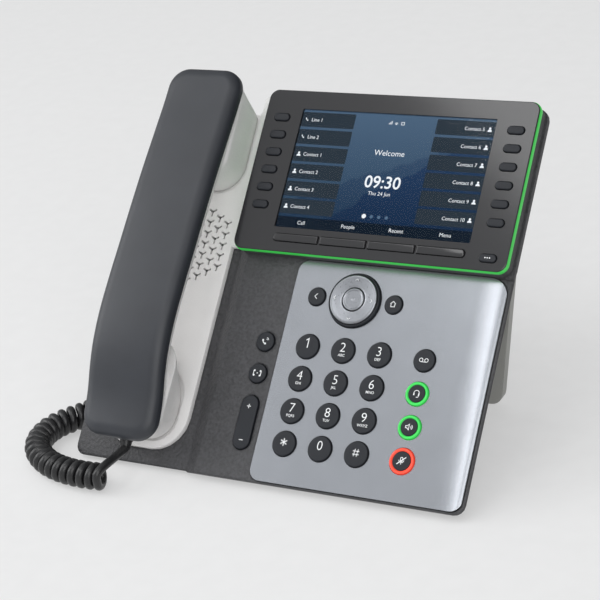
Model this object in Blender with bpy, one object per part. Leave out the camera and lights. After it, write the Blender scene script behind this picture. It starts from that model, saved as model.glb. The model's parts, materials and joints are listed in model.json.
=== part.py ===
"""Desk IP phone: a tilted slab with a colour display head, a keypad and a handset on a cradle.

The slab frame has +X to the phone's right, +Y up the slope and +Z out of the keypad.
Its origin is the middle of the twelve dial keys, level with the faceplate.
The desk frame has the same X, +Y to the back and +Z up, from the slab's front rest edge on the desk.
"""

import math

import bpy
import bmesh
from mathutils import Vector

# Driving dimensions, in metres.
TILT = math.radians(45)
GAP = 0.0003
CLEARANCE = 0.0004

# The slab's outline and levels.
SLAB_LEFT = -0.1436
SLAB_RIGHT = 0.0803
SLAB_BOTTOM = -0.0465
CRADLE_TOP = 0.1495
TOWER_LEFT = -0.0825
SLAB_TOP = 0.1590
SLAB_CORNER = 0.0055
SLAB_SURFACE = -0.0006
CRADLE_SURFACE = -0.0046
SLOPE_LOW_X = -0.0745
SLOPE_HIGH_X = -0.0670
EDGE_LOW = -0.0034
RIM_LOW = -0.0100
DRAFT = 0.0042
BACK = -0.0240
BACK_INSET = 0.0180
WALL = 0.0022
PORT_BAY = (-0.0240, 0.0080, 0.0480, 0.0340)
PORT_BAY_DEPTH = 0.0034

# The keypad faceplate: flat, with its right side rolled down.
PLATE_LEFT = -0.0357
PLATE_RIGHT = 0.0786
PLATE_BOTTOM = -0.0454
PLATE_TOP = 0.0702
PLATE_CORNER = 0.0060
PLATE_TOP_RIGHT_CORNER = 0.0090
PLATE_THICKNESS = 0.0016
ROLL_START = 0.0640
ROLL_DROP = 0.0022

# The display head.
HEAD_LEFT = -0.0721
HEAD_RIGHT = 0.0794
HEAD_BOTTOM = 0.0706
HEAD_TOP = 0.1588
HEAD_CORNER = 0.0050
HEAD_WALL = 0.0032
HEAD_STEP = -0.0050
HEAD_LEVEL = 0.0049
BEZEL_FRONT = 0.0090
BEZEL_FLANGE = 0.0007
BEZEL_BACK = 0.0060
LIGHT_BAR_LOW = 0.0052
LIGHT_BAR_HIGH = 0.0080
LIGHT_BAR_PROUD = 0.0004
SCREEN_X = 0.0038
SCREEN_Y = 0.1162
SCREEN_OPENING = (0.1090, 0.0650)

# Keys.
DIAL_PITCH_X = 0.0200
DIAL_PITCH_Y = 0.0168
DIAL_RADIUS = 0.00635
KEY_TOP = 0.0012
KEY_FOOT = -0.0046
FUNCTION_X = 0.0445
VOICEMAIL_RADIUS = 0.0056
LIT_KEY_RADIUS = 0.0059
MUTE_KEY_RADIUS = 0.0064
NAV_Y = 0.0514
NAV_SIDE = 0.0215
NAV_SKIRT_RADIUS = 0.0140
NAV_RING_RADIUS = 0.0129
NAV_HUB_RADIUS = 0.0059
NAV_SIDE_RADIUS = 0.0047
LEFT_KEY_RADIUS = 0.0050
ROCKER_SIZE = (0.0096, 0.0280)
ROCKER_Y = -0.0172
LINE_KEY_SIZE = (0.0090, 0.0041)
LINE_KEY_X = 0.0656
LINE_KEY_TOP_Y = 0.1433
LINE_KEY_PITCH = 0.00966
SOFT_KEY_SIZE = (0.0256, 0.0040)
SOFT_KEY_PITCH = 0.0269
SOFT_KEY_Y = 0.0781
MORE_KEY_Y = 0.0769
HEAD_KEY_TOP = 0.0100
HEAD_KEY_FOOT = 0.0035

# The cradle and the handset.
HANDSET_X = -0.1036
TRAY_HALF = 0.0243
TRAY_BOTTOM = -0.0373
TRAY_TOP = 0.1485
TRAY_SURFACE = -0.0020
TRAY_BACK = -0.0060
TRAY_CORNER = 0.0190
TRAY_STEP = 0.0740
TRAY_TONGUE_LEFT = -0.0795
TRAY_TONGUE_RIGHT = -0.0735
POCKET_FLOOR = -0.0035
SPEAKER_Y = 0.0744
SPEAKER_RADIUS = 0.0210
HANDSET_HALF = 0.0219
HANDSET_LOW_END = -0.0386
HANDSET_HIGH_END = 0.1618
HANDSET_END_RADIUS = 0.0115
HANDSET_CROWN = 0.0055
HANDSET_SIDE = 0.0020
HANDSET_WALL = 0.0022
GRIP_DEPTH = 0.0110
HANDSET_FOOT = -0.0032
# The parting line between the handset's shells: (distance up the slope, height).
PARTING = (
    (-0.0386, 0.0184), (-0.0280, 0.0190), (-0.0178, 0.0208), (-0.0050, 0.0249), (0.0070, 0.0277),
    (0.0225, 0.0291), (0.0420, 0.0287), (0.0612, 0.0276), (0.0820, 0.0265), (0.1032, 0.0250),
    (0.1250, 0.0229), (0.1450, 0.0211), (0.1606, 0.0208),
)
# Each end block has a foot in its pocket and a wider top in the grip. Its corners are those at the
# low end, and those at the high end at the foot and at the top.
EAR_BLOCK = {"foot": (0.1040, 0.1487), "top": (0.1010, 0.1590), "half": (0.0208, 0.0213), "height": 0.0185,
             "corners": (0.0145, 0.0045, 0.0105)}
MOUTH_BLOCK = {"foot": (-0.0322, 0.0020), "top": (-0.0370, 0.0170), "half": (0.0174, 0.0212), "height": 0.0165,
               "corners": (0.0130, 0.0150, 0.0150)}
POCKET_MARGIN = 0.0012
BLOCK_HOLLOW = {"wall": 0.0035, "end": 0.0040, "corner": 0.0090, "roof": 0.0220}
HOOK_HOLE = {"y": 0.1150, "radius": 0.0039}

# The stand, in the desk frame.
PAD_THICKNESS = 0.0012
LEG_FRONT = 0.0968
LEG_THICKNESS = 0.0056
LEG_FOOT_HALF = 0.0870
LEG_TOP_HALF = 0.1010
LEG_CORNER = 0.0070
CLIP_THICKNESS = 0.0040
CLIP_HALF = 0.0920
CLIP_TOP = 0.1240

# The handset cord: a lead, a curl on the desk and a lead to the jack, in the desk frame.
CORD_EXIT_X = -0.1054
CORD_DIAMETER = 0.0046
CURL_DIAMETER = 0.0144
CURL_LEVEL = 0.0076
# The curl's middle line over the desk: (x, y).
CURL_ROUTE = (
    (-0.1100, -0.0290), (-0.1164, -0.0296), (-0.1240, -0.0296), (-0.1325, -0.0287), (-0.1412, -0.0265),
    (-0.1490, -0.0230), (-0.1562, -0.0180), (-0.1615, -0.0120), (-0.1648, -0.0045), (-0.1654, 0.0040),
    (-0.1632, 0.0118), (-0.1590, 0.0185), (-0.1542, 0.0252), (-0.1500, 0.0325),
)
JACK_SIZE = (0.0140, 0.0140, 0.0090)
JACK_X = -0.1165
JACK_Y = 0.0120

CIRCLE_STEPS = 20
MID_X = (SLAB_LEFT + SLAB_RIGHT) / 2


# Shapes -------------------------------------------------------------------------------------


def fillet(corners, steps=5):
    """An anticlockwise outline from (x, y, radius) corners, each rounded with an arc."""
    outline = []
    for i, (x, y, radius) in enumerate(corners):
        here = Vector((x, y))
        if radius <= 0:
            outline.append((x, y))
            continue
        before = (Vector(corners[i - 1][:2]) - here).normalized()
        after = (Vector(corners[(i + 1) % len(corners)][:2]) - here).normalized()
        half = before.angle(after) / 2
        centre = here + (before + after).normalized() * (radius / math.sin(half))
        start = here + before * (radius / math.tan(half)) - centre
        end = here + after * (radius / math.tan(half)) - centre
        turn = math.atan2(start.x * end.y - start.y * end.x, start.dot(end))
        for k in range(steps + 1):
            angle = turn * k / steps
            c, s = math.cos(angle), math.sin(angle)
            outline.append((centre.x + c * start.x - s * start.y, centre.y + s * start.x + c * start.y))
    return outline


def rectangle(left, bottom, right, top, radius, steps=5):
    return fillet([(left, bottom, radius), (right, bottom, radius), (right, top, radius), (left, top, radius)], steps)


def pill(size, inset=0.0, left_radius=None, right_radius=None, steps=5):
    """A rectangle about the origin with round ends, or with the end radii given."""
    x, y = size[0] / 2 - inset, size[1] / 2 - inset
    full = min(x, y) - 0.00001
    low = full if left_radius is None else max(left_radius - inset, 0.0001)
    high = full if right_radius is None else max(right_radius - inset, 0.0001)
    return fillet([(-x, -y, low), (x, -y, high), (x, y, high), (-x, y, low)], steps)


def circle(radius, x=0.0, y=0.0, steps=CIRCLE_STEPS):
    angles = [2 * math.pi * k / steps for k in range(steps)]
    return [(x + radius * math.cos(a), y + radius * math.sin(a)) for a in angles]


def at_level(outline, z):
    return [(x, y, z) for x, y in outline]


def add_tube(mesh, rings):
    """Add the closed body through the rings, each a list of as many points, with flat end caps."""
    rows = [[mesh.verts.new(point) for point in ring] for ring in rings]
    count = len(rows[0])
    for low, high in zip(rows, rows[1:]):
        for k in range(count):
            following = (k + 1) % count
            mesh.faces.new((low[k], low[following], high[following], high[k]))
    mesh.faces.new(reversed(rows[0]))
    mesh.faces.new(rows[-1])


def body(name, tubes, material=None, parent=None, location=(0, 0, 0)):
    """An object made of one or more closed tubes of rings; without a material it is a cutter."""
    mesh = bmesh.new()
    for rings in tubes:
        add_tube(mesh, rings)
    bmesh.ops.recalc_face_normals(mesh, faces=mesh.faces[:])
    data = bpy.data.meshes.new(name)
    mesh.to_mesh(data)
    mesh.free()
    return place(name, data, material, parent, location)


def place(name, data, material, parent, location):
    made = bpy.data.objects.new(name, data)
    bpy.context.scene.collection.objects.link(made)
    made.parent = parent
    made.location = location
    if material is None:
        made.hide_render = True
        made.display_type = "WIRE"
    else:
        data.materials.append(material)
    return made


def prism(outline, low, high):
    return [at_level(outline, low), at_level(outline, high)]


def turned(profile, steps=CIRCLE_STEPS):
    """Rings for a body turned about Z, from (radius, z) pairs, bottom to top."""
    return [at_level(circle(radius, steps=steps), z) for radius, z in profile]


def ring_tube(profile, steps=CIRCLE_STEPS):
    """Rings around a closed (radius, z) section, for a body with a round hole, turned about Z."""
    rings = []
    for k in range(steps):
        angle = 2 * math.pi * k / steps
        rings.append([(radius * math.cos(angle), radius * math.sin(angle), z) for radius, z in profile])
    return rings


def ring_body(name, profile, material, parent, location, steps=CIRCLE_STEPS):
    mesh = bmesh.new()
    rows = [[mesh.verts.new(point) for point in ring] for ring in ring_tube(profile, steps)]
    count = len(profile)
    for i, row in enumerate(rows):
        following = rows[(i + 1) % len(rows)]
        for k in range(count):
            mesh.faces.new((row[k], following[k], following[(k + 1) % count], row[(k + 1) % count]))
    bmesh.ops.recalc_face_normals(mesh, faces=mesh.faces[:])
    data = bpy.data.meshes.new(name)
    mesh.to_mesh(data)
    mesh.free()
    return place(name, data, material, parent, location)


def combine(target, other, operation):
    change = target.modifiers.new(other.name, "BOOLEAN")
    change.operation = operation
    change.object = other
    change.solver = "EXACT"


def cut(target, name, tubes, parent):
    combine(target, body(name, tubes, parent=parent), "DIFFERENCE")


def join(target, name, tubes, parent):
    combine(target, body(name, tubes, parent=parent), "UNION")


def smooth(piece, degrees=35):
    piece.data.shade_smooth()
    piece.data.set_sharp_from_angle(angle=math.radians(degrees))


def finish(name, colour, roughness, metallic=0.0, glow=None, alpha=1.0):
    material = bpy.data.materials.new(name)
    material.use_nodes = True
    shader = material.node_tree.nodes["Principled BSDF"]
    shader.inputs["Base Color"].default_value = (*colour, 1.0)
    shader.inputs["Roughness"].default_value = roughness
    shader.inputs["Metallic"].default_value = metallic
    shader.inputs["Alpha"].default_value = alpha
    if glow:
        shader.inputs["Emission Color"].default_value = (*glow, 1.0)
        shader.inputs["Emission Strength"].default_value = 1.0
    return material


def empty(name, parent=None, location=(0, 0, 0), rotation=(0, 0, 0)):
    made = bpy.data.objects.new(name, None)
    bpy.context.scene.collection.objects.link(made)
    made.parent = parent
    made.location = location
    made.rotation_euler = rotation
    return made


def curve_through(points, per_span=8):
    """Points on a Catmull-Rom curve through the given ones."""
    ends = [points[0] * 2 - points[1], *points, points[-1] * 2 - points[-2]]
    found = []
    for a, b, c, d in zip(ends, ends[1:], ends[2:], ends[3:]):
        for k in range(per_span):
            t = k / per_span
            found.append(0.5 * (2 * b + (c - a) * t + (2 * a - 5 * b + 4 * c - d) * t * t
                                + (3 * b - 3 * c + d - a) * t ** 3))
    return [*found, points[-1]]


def evenly(points, spacing):
    """The same path with a point about every spacing."""
    lengths = [0.0]
    for a, b in zip(points, points[1:]):
        lengths.append(lengths[-1] + (b - a).length)
    count = max(2, round(lengths[-1] / spacing))
    found = []
    for k in range(count + 1):
        want = lengths[-1] * k / count
        i = max(j for j, length in enumerate(lengths[:-1]) if length <= want + 1e-9)
        share = (want - lengths[i]) / (lengths[i + 1] - lengths[i])
        found.append(points[i].lerp(points[i + 1], min(share, 1.0)))
    return found


def cord_tube(name, points, diameter, resolution, spacing, material, parent):
    data = bpy.data.curves.new(name, "CURVE")
    data.dimensions = "3D"
    data.bevel_depth = diameter / 2
    data.bevel_resolution = resolution
    data.use_fill_caps = True
    path = evenly(curve_through(points), spacing)
    spline = data.splines.new("POLY")
    spline.points.add(len(path) - 1)
    for point, place_here in zip(spline.points, path):
        point.co = (*place_here, 1.0)
    return place(name, data, material, parent, (0, 0, 0))


# Finishes -----------------------------------------------------------------------------------


def make_finishes():
    return {
        "housing": finish("housing", (0.050, 0.051, 0.053), 0.55),
        "rear": finish("rear", (0.045, 0.046, 0.048), 0.60),
        "faceplate": finish("faceplate", (0.42, 0.44, 0.47), 0.38, metallic=0.6),
        "pale": finish("pale", (0.66, 0.66, 0.64), 0.50),
        "bezel": finish("bezel", (0.055, 0.055, 0.058), 0.18),
        "window": finish("window", (0.75, 0.80, 0.85), 0.03, alpha=0.3),
        "screen": finish("screen", (0.03, 0.06, 0.10), 0.30, glow=(0.04, 0.10, 0.18)),
        "green": finish("green", (0.05, 0.80, 0.12), 0.30, glow=(0.04, 0.90, 0.10)),
        "key": finish("key", (0.042, 0.045, 0.052), 0.45),
        "silver": finish("silver", (0.60, 0.61, 0.63), 0.30, metallic=0.9),
        "lit_green": finish("lit_green", (0.05, 0.75, 0.15), 0.35, glow=(0.04, 0.70, 0.10)),
        "lit_red": finish("lit_red", (0.85, 0.08, 0.04), 0.35, glow=(0.80, 0.06, 0.03)),
        "handset": finish("handset", (0.075, 0.082, 0.095), 0.45),
        "cord": finish("cord", (0.020, 0.020, 0.022), 0.40),
        "rubber": finish("rubber", (0.030, 0.030, 0.030), 0.80),
        "board": finish("board", (0.02, 0.16, 0.07), 0.50),
        "speaker": finish("speaker", (0.05, 0.05, 0.05), 0.70),
    }


# The slab -----------------------------------------------------------------------------------


def slab_outline(inset=0.0, corner=SLAB_CORNER):
    left, right = SLAB_LEFT + inset, SLAB_RIGHT - inset
    bottom, top, shoulder = SLAB_BOTTOM + inset, SLAB_TOP - inset, CRADLE_TOP - inset
    tower = TOWER_LEFT + inset
    return fillet([
        (left, bottom, corner), (right, bottom, corner), (right, top, corner), (tower, top, corner / 2),
        (tower, shoulder, corner / 2), (left, shoulder, 2 * corner),
    ], 4)


def plate_outline(grow=0.0, past_right=0.0):
    right = PLATE_RIGHT + grow + past_right
    bottom, top = PLATE_BOTTOM - grow, PLATE_TOP + grow
    return fillet([
        (PLATE_LEFT - grow, bottom, PLATE_CORNER), (right, bottom, PLATE_CORNER),
        (right, top, PLATE_TOP_RIGHT_CORNER), (PLATE_LEFT - grow, top, PLATE_CORNER),
    ])


def head_outline(inset):
    return rectangle(HEAD_LEFT + inset, HEAD_BOTTOM + inset, HEAD_RIGHT - inset, HEAD_TOP - inset,
                     max(HEAD_CORNER - inset, 0.001))


def tray_outline(grow=0.0):
    left, right = HANDSET_X - TRAY_HALF - grow, HANDSET_X + TRAY_HALF + grow
    side, tip = TRAY_TONGUE_RIGHT + grow, HEAD_TOP - 0.0010 + grow
    return fillet([
        (left, TRAY_BOTTOM - grow, TRAY_CORNER), (right, TRAY_BOTTOM - grow, TRAY_CORNER),
        (right, TRAY_STEP - grow, 0), (side, TRAY_STEP - grow, 0), (side, tip, 0.002),
        (TRAY_TONGUE_LEFT - grow, tip, 0.002), (TRAY_TONGUE_LEFT - grow, TRAY_TOP + grow, 0.002),
        (left, TRAY_TOP + grow, 0.010),
    ])


def across(profile, low, high):
    """Rings for a bar along Y with a constant (x, z) section."""
    return [[(x, y, z) for x, z in profile] for y in (low, high)]


def roll_profile(drop, start, end, level, steps=8):
    """A quarter ellipse from the flat plate down to the rolled edge."""
    angles = [math.pi / 2 * k / steps for k in range(steps + 1)]
    return [(start + (end - start) * math.sin(a), level - drop * (1 - math.cos(a))) for a in angles]


def make_front_housing(frame, looks):
    levels = ((DRAFT, RIM_LOW + GAP), (0.0, EDGE_LOW), (0.0, SLAB_SURFACE))
    slab = [at_level(slab_outline(inset), z) for inset, z in levels]
    housing = body("front_housing", [slab], looks["housing"], frame)
    slope = [(SLAB_LEFT - 0.01, CRADLE_SURFACE), (SLOPE_LOW_X, CRADLE_SURFACE),
             (SLOPE_HIGH_X, SLAB_SURFACE + 0.0001), (SLOPE_HIGH_X, 0.004), (SLAB_LEFT - 0.01, 0.004)]
    cut(housing, "cradle_step", [across(slope, -0.06, 0.17)], frame)
    join(housing, "head_block", [prism(head_outline(0.0), -0.0060, HEAD_LEVEL)], frame)
    cut(housing, "head_hollow", [prism(head_outline(HEAD_WALL), HEAD_STEP, 0.02)], frame)
    cut(housing, "head_hollow_low", [prism(head_outline(DRAFT + WALL), -0.02, HEAD_STEP + 0.0001)], frame)
    cut(housing, "plate_pocket", [prism(plate_outline(GAP), -PLATE_THICKNESS - GAP, 0.003)], frame)
    ramp = [(ROLL_START + 0.006, SLAB_SURFACE + 0.0001), (PLATE_RIGHT, -ROLL_DROP), (0.1, -ROLL_DROP),
            (0.1, 0.004), (ROLL_START + 0.006, 0.004)]
    cut(housing, "rim_ramp", [across(ramp, -0.06, HEAD_BOTTOM - 0.0003)], frame)
    roll = fillet([
        (ROLL_START - 0.001, PLATE_BOTTOM - GAP, 0), (PLATE_RIGHT + GAP, PLATE_BOTTOM - GAP, PLATE_CORNER),
        (PLATE_RIGHT + GAP, PLATE_TOP + GAP, PLATE_TOP_RIGHT_CORNER), (ROLL_START - 0.001, PLATE_TOP + GAP, 0),
    ])
    cut(housing, "roll_pocket", [prism(roll, -ROLL_DROP - PLATE_THICKNESS - GAP, 0.003)], frame)
    well = rectangle(-0.0640, -0.0385, 0.0605, 0.0665, 0.003)
    cut(housing, "key_well", [prism(well, -0.02, -0.0033)], frame)
    window = rectangle(-0.0312, -0.0380, 0.0600, 0.0658, 0.003)
    cut(housing, "keypad_window", [prism(window, -0.02, 0.02)], frame)
    cut(housing, "tray_pocket", [prism(tray_outline(GAP), TRAY_BACK - GAP, 0.003)], frame)
    sound = [prism(circle(SPEAKER_RADIUS, HANDSET_X, SPEAKER_Y), -0.02, 0.01)]
    hook = [prism(circle(0.0039, HANDSET_X, 0.1150, 16), -0.02, 0.01)]
    cut(housing, "cradle_holes", sound + hook, frame)
    holes = [prism(circle(LEFT_KEY_RADIUS + CLEARANCE, -FUNCTION_X, y), -0.01, 0.01)
             for y in (1.5 * DIAL_PITCH_Y, 0.5 * DIAL_PITCH_Y)]
    rocker = [(x - FUNCTION_X, y + ROCKER_Y) for x, y in pill(ROCKER_SIZE, -CLEARANCE)]
    cut(housing, "left_key_holes", [*holes, prism(rocker, -0.01, 0.01)], frame)
    return housing


def make_rear_housing(frame, looks):
    depth = RIM_LOW - BACK
    outer = [at_level(slab_outline(DRAFT), RIM_LOW), at_level(tapered(1.0, 0.0), BACK)]
    housing = body("rear_housing", [outer], looks["rear"], frame)
    inner = [at_level(slab_outline(DRAFT + WALL), RIM_LOW + 0.0005), at_level(tapered(1 - WALL / depth, WALL), BACK + WALL)]
    cut(housing, "rear_hollow", [inner], frame)
    x, y, z = (size / 2 for size in JACK_SIZE)
    boss = rectangle(JACK_X - x, JACK_Y - y, JACK_X + x, JACK_Y + y, 0.0)
    join(housing, "jack_boss", [prism(boss, BACK - 2 * z, BACK + 0.001)], frame)
    bay_floor = BACK + PORT_BAY_DEPTH
    box = rectangle(*(edge + side * WALL for edge, side in zip(PORT_BAY, (-1, -1, 1, 1))), 0.0)
    join(housing, "bay_box", [prism(box, BACK + 0.0005, bay_floor + WALL)], frame)
    cut(housing, "port_bay", [prism(rectangle(*PORT_BAY, 0.001), BACK - 0.01, bay_floor)], frame)
    return housing


def tapered(share, wall):
    """The slab's outline at a share of the rear taper: the bottom draws in at 45 degrees."""
    side = DRAFT + (BACK_INSET - DRAFT) * share + wall
    bottom = DRAFT + (RIM_LOW - BACK) * share + wall * 1.4
    corner = SLAB_CORNER
    left, right = SLAB_LEFT + side, SLAB_RIGHT - side
    top, shoulder, tower = SLAB_TOP - side, CRADLE_TOP - side, TOWER_LEFT + side
    return fillet([
        (left, SLAB_BOTTOM + bottom, corner), (right, SLAB_BOTTOM + bottom, corner), (right, top, corner),
        (tower, top, corner / 2), (tower, shoulder, corner / 2), (left, shoulder, 2 * corner),
    ], 4)


def make_faceplate(frame, looks):
    thick = PLATE_THICKNESS
    top = roll_profile(ROLL_DROP, ROLL_START, PLATE_RIGHT, 0.0)
    under = roll_profile(ROLL_DROP - thick, ROLL_START, PLATE_RIGHT - thick, -thick)
    section = [(PLATE_LEFT - 0.01, 0.0), *top, *reversed(under), (PLATE_LEFT - 0.01, -thick)]
    plate = body("keypad_faceplate", [across(section, -0.06, 0.09)], looks["faceplate"], frame)
    trim = body("plate_trim", [prism(plate_outline(), -0.02, 0.01)], parent=frame)
    combine(plate, trim, "INTERSECT")
    holes = [(x, y, DIAL_RADIUS) for x, y, _ in dial_places()]
    holes += [(FUNCTION_X, y, radius) for _, y, radius, _ in function_keys()]
    holes += [(side * NAV_SIDE, NAV_Y, NAV_SIDE_RADIUS) for side in (-1, 1)]
    holes.append((0.0, NAV_Y, NAV_SKIRT_RADIUS))
    cutters = [prism(circle(radius + CLEARANCE, x, y), -0.01, 0.01) for x, y, radius in holes]
    cut(plate, "plate_holes", cutters, frame)
    return plate


# The display head ---------------------------------------------------------------------------


def make_head(frame, looks):
    bezel = body("display_bezel", [prism(head_outline(0.0), BEZEL_FRONT - BEZEL_FLANGE, BEZEL_FRONT)],
                 looks["bezel"], frame)
    join(bezel, "bezel_body", [prism(head_outline(HEAD_WALL + GAP), BEZEL_BACK, BEZEL_FRONT - 0.0003)], frame)
    opening = rectangle(SCREEN_X - SCREEN_OPENING[0] / 2, SCREEN_Y - SCREEN_OPENING[1] / 2,
                        SCREEN_X + SCREEN_OPENING[0] / 2, SCREEN_Y + SCREEN_OPENING[1] / 2, 0.0005, 2)
    holes = [prism(opening, 0.0, 0.02)]
    for _, x, y, size, ends in head_keys():
        outline = pill(size, -GAP, *ends, steps=3)
        holes.append(prism([(px + x, py + y) for px, py in outline], 0.0, 0.02))
    cut(bezel, "bezel_holes", holes, frame)
    slim = rectangle(SCREEN_X - SCREEN_OPENING[0] / 2 + GAP, SCREEN_Y - SCREEN_OPENING[1] / 2 + GAP,
                     SCREEN_X + SCREEN_OPENING[0] / 2 - GAP, SCREEN_Y + SCREEN_OPENING[1] / 2 - GAP, 0.0005, 2)
    body("display_window", [prism(slim, BEZEL_FRONT - 0.0009, BEZEL_FRONT - 0.0002)], looks["window"], frame)
    body("lcd_module", [prism(slim, 0.0035, BEZEL_FRONT - 0.0012)], looks["screen"], frame)
    bar = body("light_bar", [prism(head_outline(-LIGHT_BAR_PROUD), LIGHT_BAR_LOW, LIGHT_BAR_HIGH)],
               looks["green"], frame)
    cut(bar, "light_bar_hole", [prism(head_outline(HEAD_WALL - 0.0001), 0.0, 0.02)], frame)


def head_keys():
    """The keys in the bezel: name, x, y, size and end radii."""
    keys = []
    for side, sign in (("left", -1), ("right", 1)):
        for i in range(6):
            y = LINE_KEY_TOP_Y - i * LINE_KEY_PITCH
            keys.append((f"line_key_{side}_{i + 1}", SCREEN_X + sign * LINE_KEY_X, y, LINE_KEY_SIZE, (None, None)))
    for i in range(4):
        ends = (0.0018 if i == 0 else 0.0003, 0.0018 if i == 3 else 0.0003)
        keys.append((f"soft_key_{i + 1}", SCREEN_X + (i - 1.5) * SOFT_KEY_PITCH, SOFT_KEY_Y, SOFT_KEY_SIZE, ends))
    keys.append(("more_key", SCREEN_X + LINE_KEY_X, MORE_KEY_Y, LINE_KEY_SIZE, (None, None)))
    return keys


def make_head_keys(frame, looks):
    for name, x, y, size, ends in head_keys():
        levels = ((0.0, HEAD_KEY_FOOT), (0.0, HEAD_KEY_TOP - 0.0005), (0.0005, HEAD_KEY_TOP))
        rings = [at_level(pill(size, inset, *ends, steps=3), z - BEZEL_FRONT) for inset, z in levels]
        smooth(body(name, [rings], looks["key"], frame, (x, y, BEZEL_FRONT)))


# The keypad ---------------------------------------------------------------------------------


def dial_places():
    names = ("1", "2", "3", "4", "5", "6", "7", "8", "9", "star", "0", "pound")
    return [((i % 3 - 1) * DIAL_PITCH_X, (1.5 - i // 3) * DIAL_PITCH_Y, name) for i, name in enumerate(names)]


def function_keys():
    """The column right of the dial keys: name, y, radius and finish."""
    return [
        ("voicemail_key", 1.5 * DIAL_PITCH_Y, VOICEMAIL_RADIUS, "key"),
        ("headset_key", 0.5 * DIAL_PITCH_Y, LIT_KEY_RADIUS, "lit_green"),
        ("speaker_key", -0.5 * DIAL_PITCH_Y, LIT_KEY_RADIUS, "lit_green"),
        ("mute_key", -1.5 * DIAL_PITCH_Y, MUTE_KEY_RADIUS, "lit_red"),
    ]


def round_key(name, x, y, radius, look, frame, surface=0.0):
    """A cap with a rounded rim, whose flange is held under the plate."""
    top = KEY_TOP + surface
    profile = ((radius + 0.0009, KEY_FOOT), (radius + 0.0009, KEY_FOOT + 0.0009), (radius, KEY_FOOT + 0.0010),
               (radius, top - 0.0005), (radius - 0.0006, top))
    smooth(body(name, [turned(profile)], look, frame, (x, y, 0.0)))


def make_keypad(frame, looks):
    for x, y, name in dial_places():
        round_key(f"dial_key_{name}", x, y, DIAL_RADIUS, looks["key"], frame)
    for name, y, radius, look in function_keys():
        round_key(name, FUNCTION_X, y, radius, looks[look], frame)
    round_key("back_key", -NAV_SIDE, NAV_Y, NAV_SIDE_RADIUS, looks["key"], frame)
    round_key("home_key", NAV_SIDE, NAV_Y, NAV_SIDE_RADIUS, looks["key"], frame)
    round_key("transfer_key", -FUNCTION_X, 1.5 * DIAL_PITCH_Y, LEFT_KEY_RADIUS, looks["key"], frame, SLAB_SURFACE)
    round_key("conference_key", -FUNCTION_X, 0.5 * DIAL_PITCH_Y, LEFT_KEY_RADIUS, looks["key"], frame, SLAB_SURFACE)
    levels = ((0.0, -0.0042), (0.0, 0.0001), (0.0006, 0.0006))
    rocker = [at_level(pill(ROCKER_SIZE, inset), z) for inset, z in levels]
    smooth(body("volume_rocker", [rocker], looks["key"], frame, (-FUNCTION_X, ROCKER_Y, 0.0)))


def make_navigation(frame, looks):
    centre = (0.0, NAV_Y, 0.0)
    skirt = ((NAV_SKIRT_RADIUS, -0.0030), (NAV_SKIRT_RADIUS, 0.0012), (NAV_SKIRT_RADIUS - 0.0007, 0.0019),
             (NAV_RING_RADIUS + 0.0003, 0.0019), (NAV_RING_RADIUS + 0.0003, -0.0010), (0.0080, -0.0010),
             (0.0080, -0.0030))
    smooth(ring_body("nav_skirt", skirt, looks["key"], frame, centre, 32))
    ring = ((NAV_RING_RADIUS, -0.0004), (NAV_RING_RADIUS, 0.0021), (NAV_RING_RADIUS - 0.0008, 0.0028),
            (NAV_HUB_RADIUS + 0.0007, 0.0028), (NAV_HUB_RADIUS + 0.0004, 0.0025), (NAV_HUB_RADIUS + 0.0004, -0.0004))
    smooth(ring_body("nav_ring", ring, looks["silver"], frame, centre, 32))
    hub = ((NAV_HUB_RADIUS, -0.0040), (NAV_HUB_RADIUS, 0.0023), (NAV_HUB_RADIUS - 0.0006, 0.0028))
    smooth(body("select_key", [turned(hub)], looks["silver"], frame, centre))


# The cradle ---------------------------------------------------------------------------------


def block_outline(half, low, high, low_corner, high_corner, steps=4):
    left, right = HANDSET_X - half, HANDSET_X + half
    return fillet([(left, low, low_corner), (right, low, low_corner),
                   (right, high, high_corner), (left, high, high_corner)], steps)


def block_rings(block, levels):
    """Rings of a handset end block: its outline drawn from foot to top at the given shares."""
    low_corner, foot_corner, top_corner = block["corners"]
    rings = []
    for share, z in levels:
        half = block["half"][0] + (block["half"][1] - block["half"][0]) * share
        low = block["foot"][0] + (block["top"][0] - block["foot"][0]) * share
        high = block["foot"][1] + (block["top"][1] - block["foot"][1]) * share
        corner = foot_corner + (top_corner - foot_corner) * share
        rings.append(at_level(block_outline(half, low, high, low_corner, corner), z))
    return rings


def make_cradle(frame, looks):
    tray = body("cradle_tray", [prism(tray_outline(), TRAY_BACK, TRAY_SURFACE)], looks["pale"], frame)
    pockets = []
    for block in (EAR_BLOCK, MOUTH_BLOCK):
        half = block["half"][0] + POCKET_MARGIN
        low, high = block["foot"][0] - POCKET_MARGIN, block["foot"][1] + 3 * POCKET_MARGIN
        low_corner, high_corner = block["corners"][:2]
        outline = block_outline(half, low, high, low_corner, high_corner, 5)
        pockets.append(prism(outline, POCKET_FLOOR, 0.005))
    cut(tray, "tray_pockets", pockets, frame)
    hole = circle(HOOK_HOLE["radius"], HANDSET_X, HOOK_HOLE["y"], 16)
    cut(tray, "hook_hole", [prism(hole, -0.01, 0.01)], frame)
    plunger = ((0.0035, -0.0115), (0.0035, POCKET_FLOOR - 0.0005), (0.0029, POCKET_FLOOR))
    smooth(body("hook_plunger", [turned(plunger, 16)], looks["key"], frame, (HANDSET_X, HOOK_HOLE["y"], 0.0)))


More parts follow.
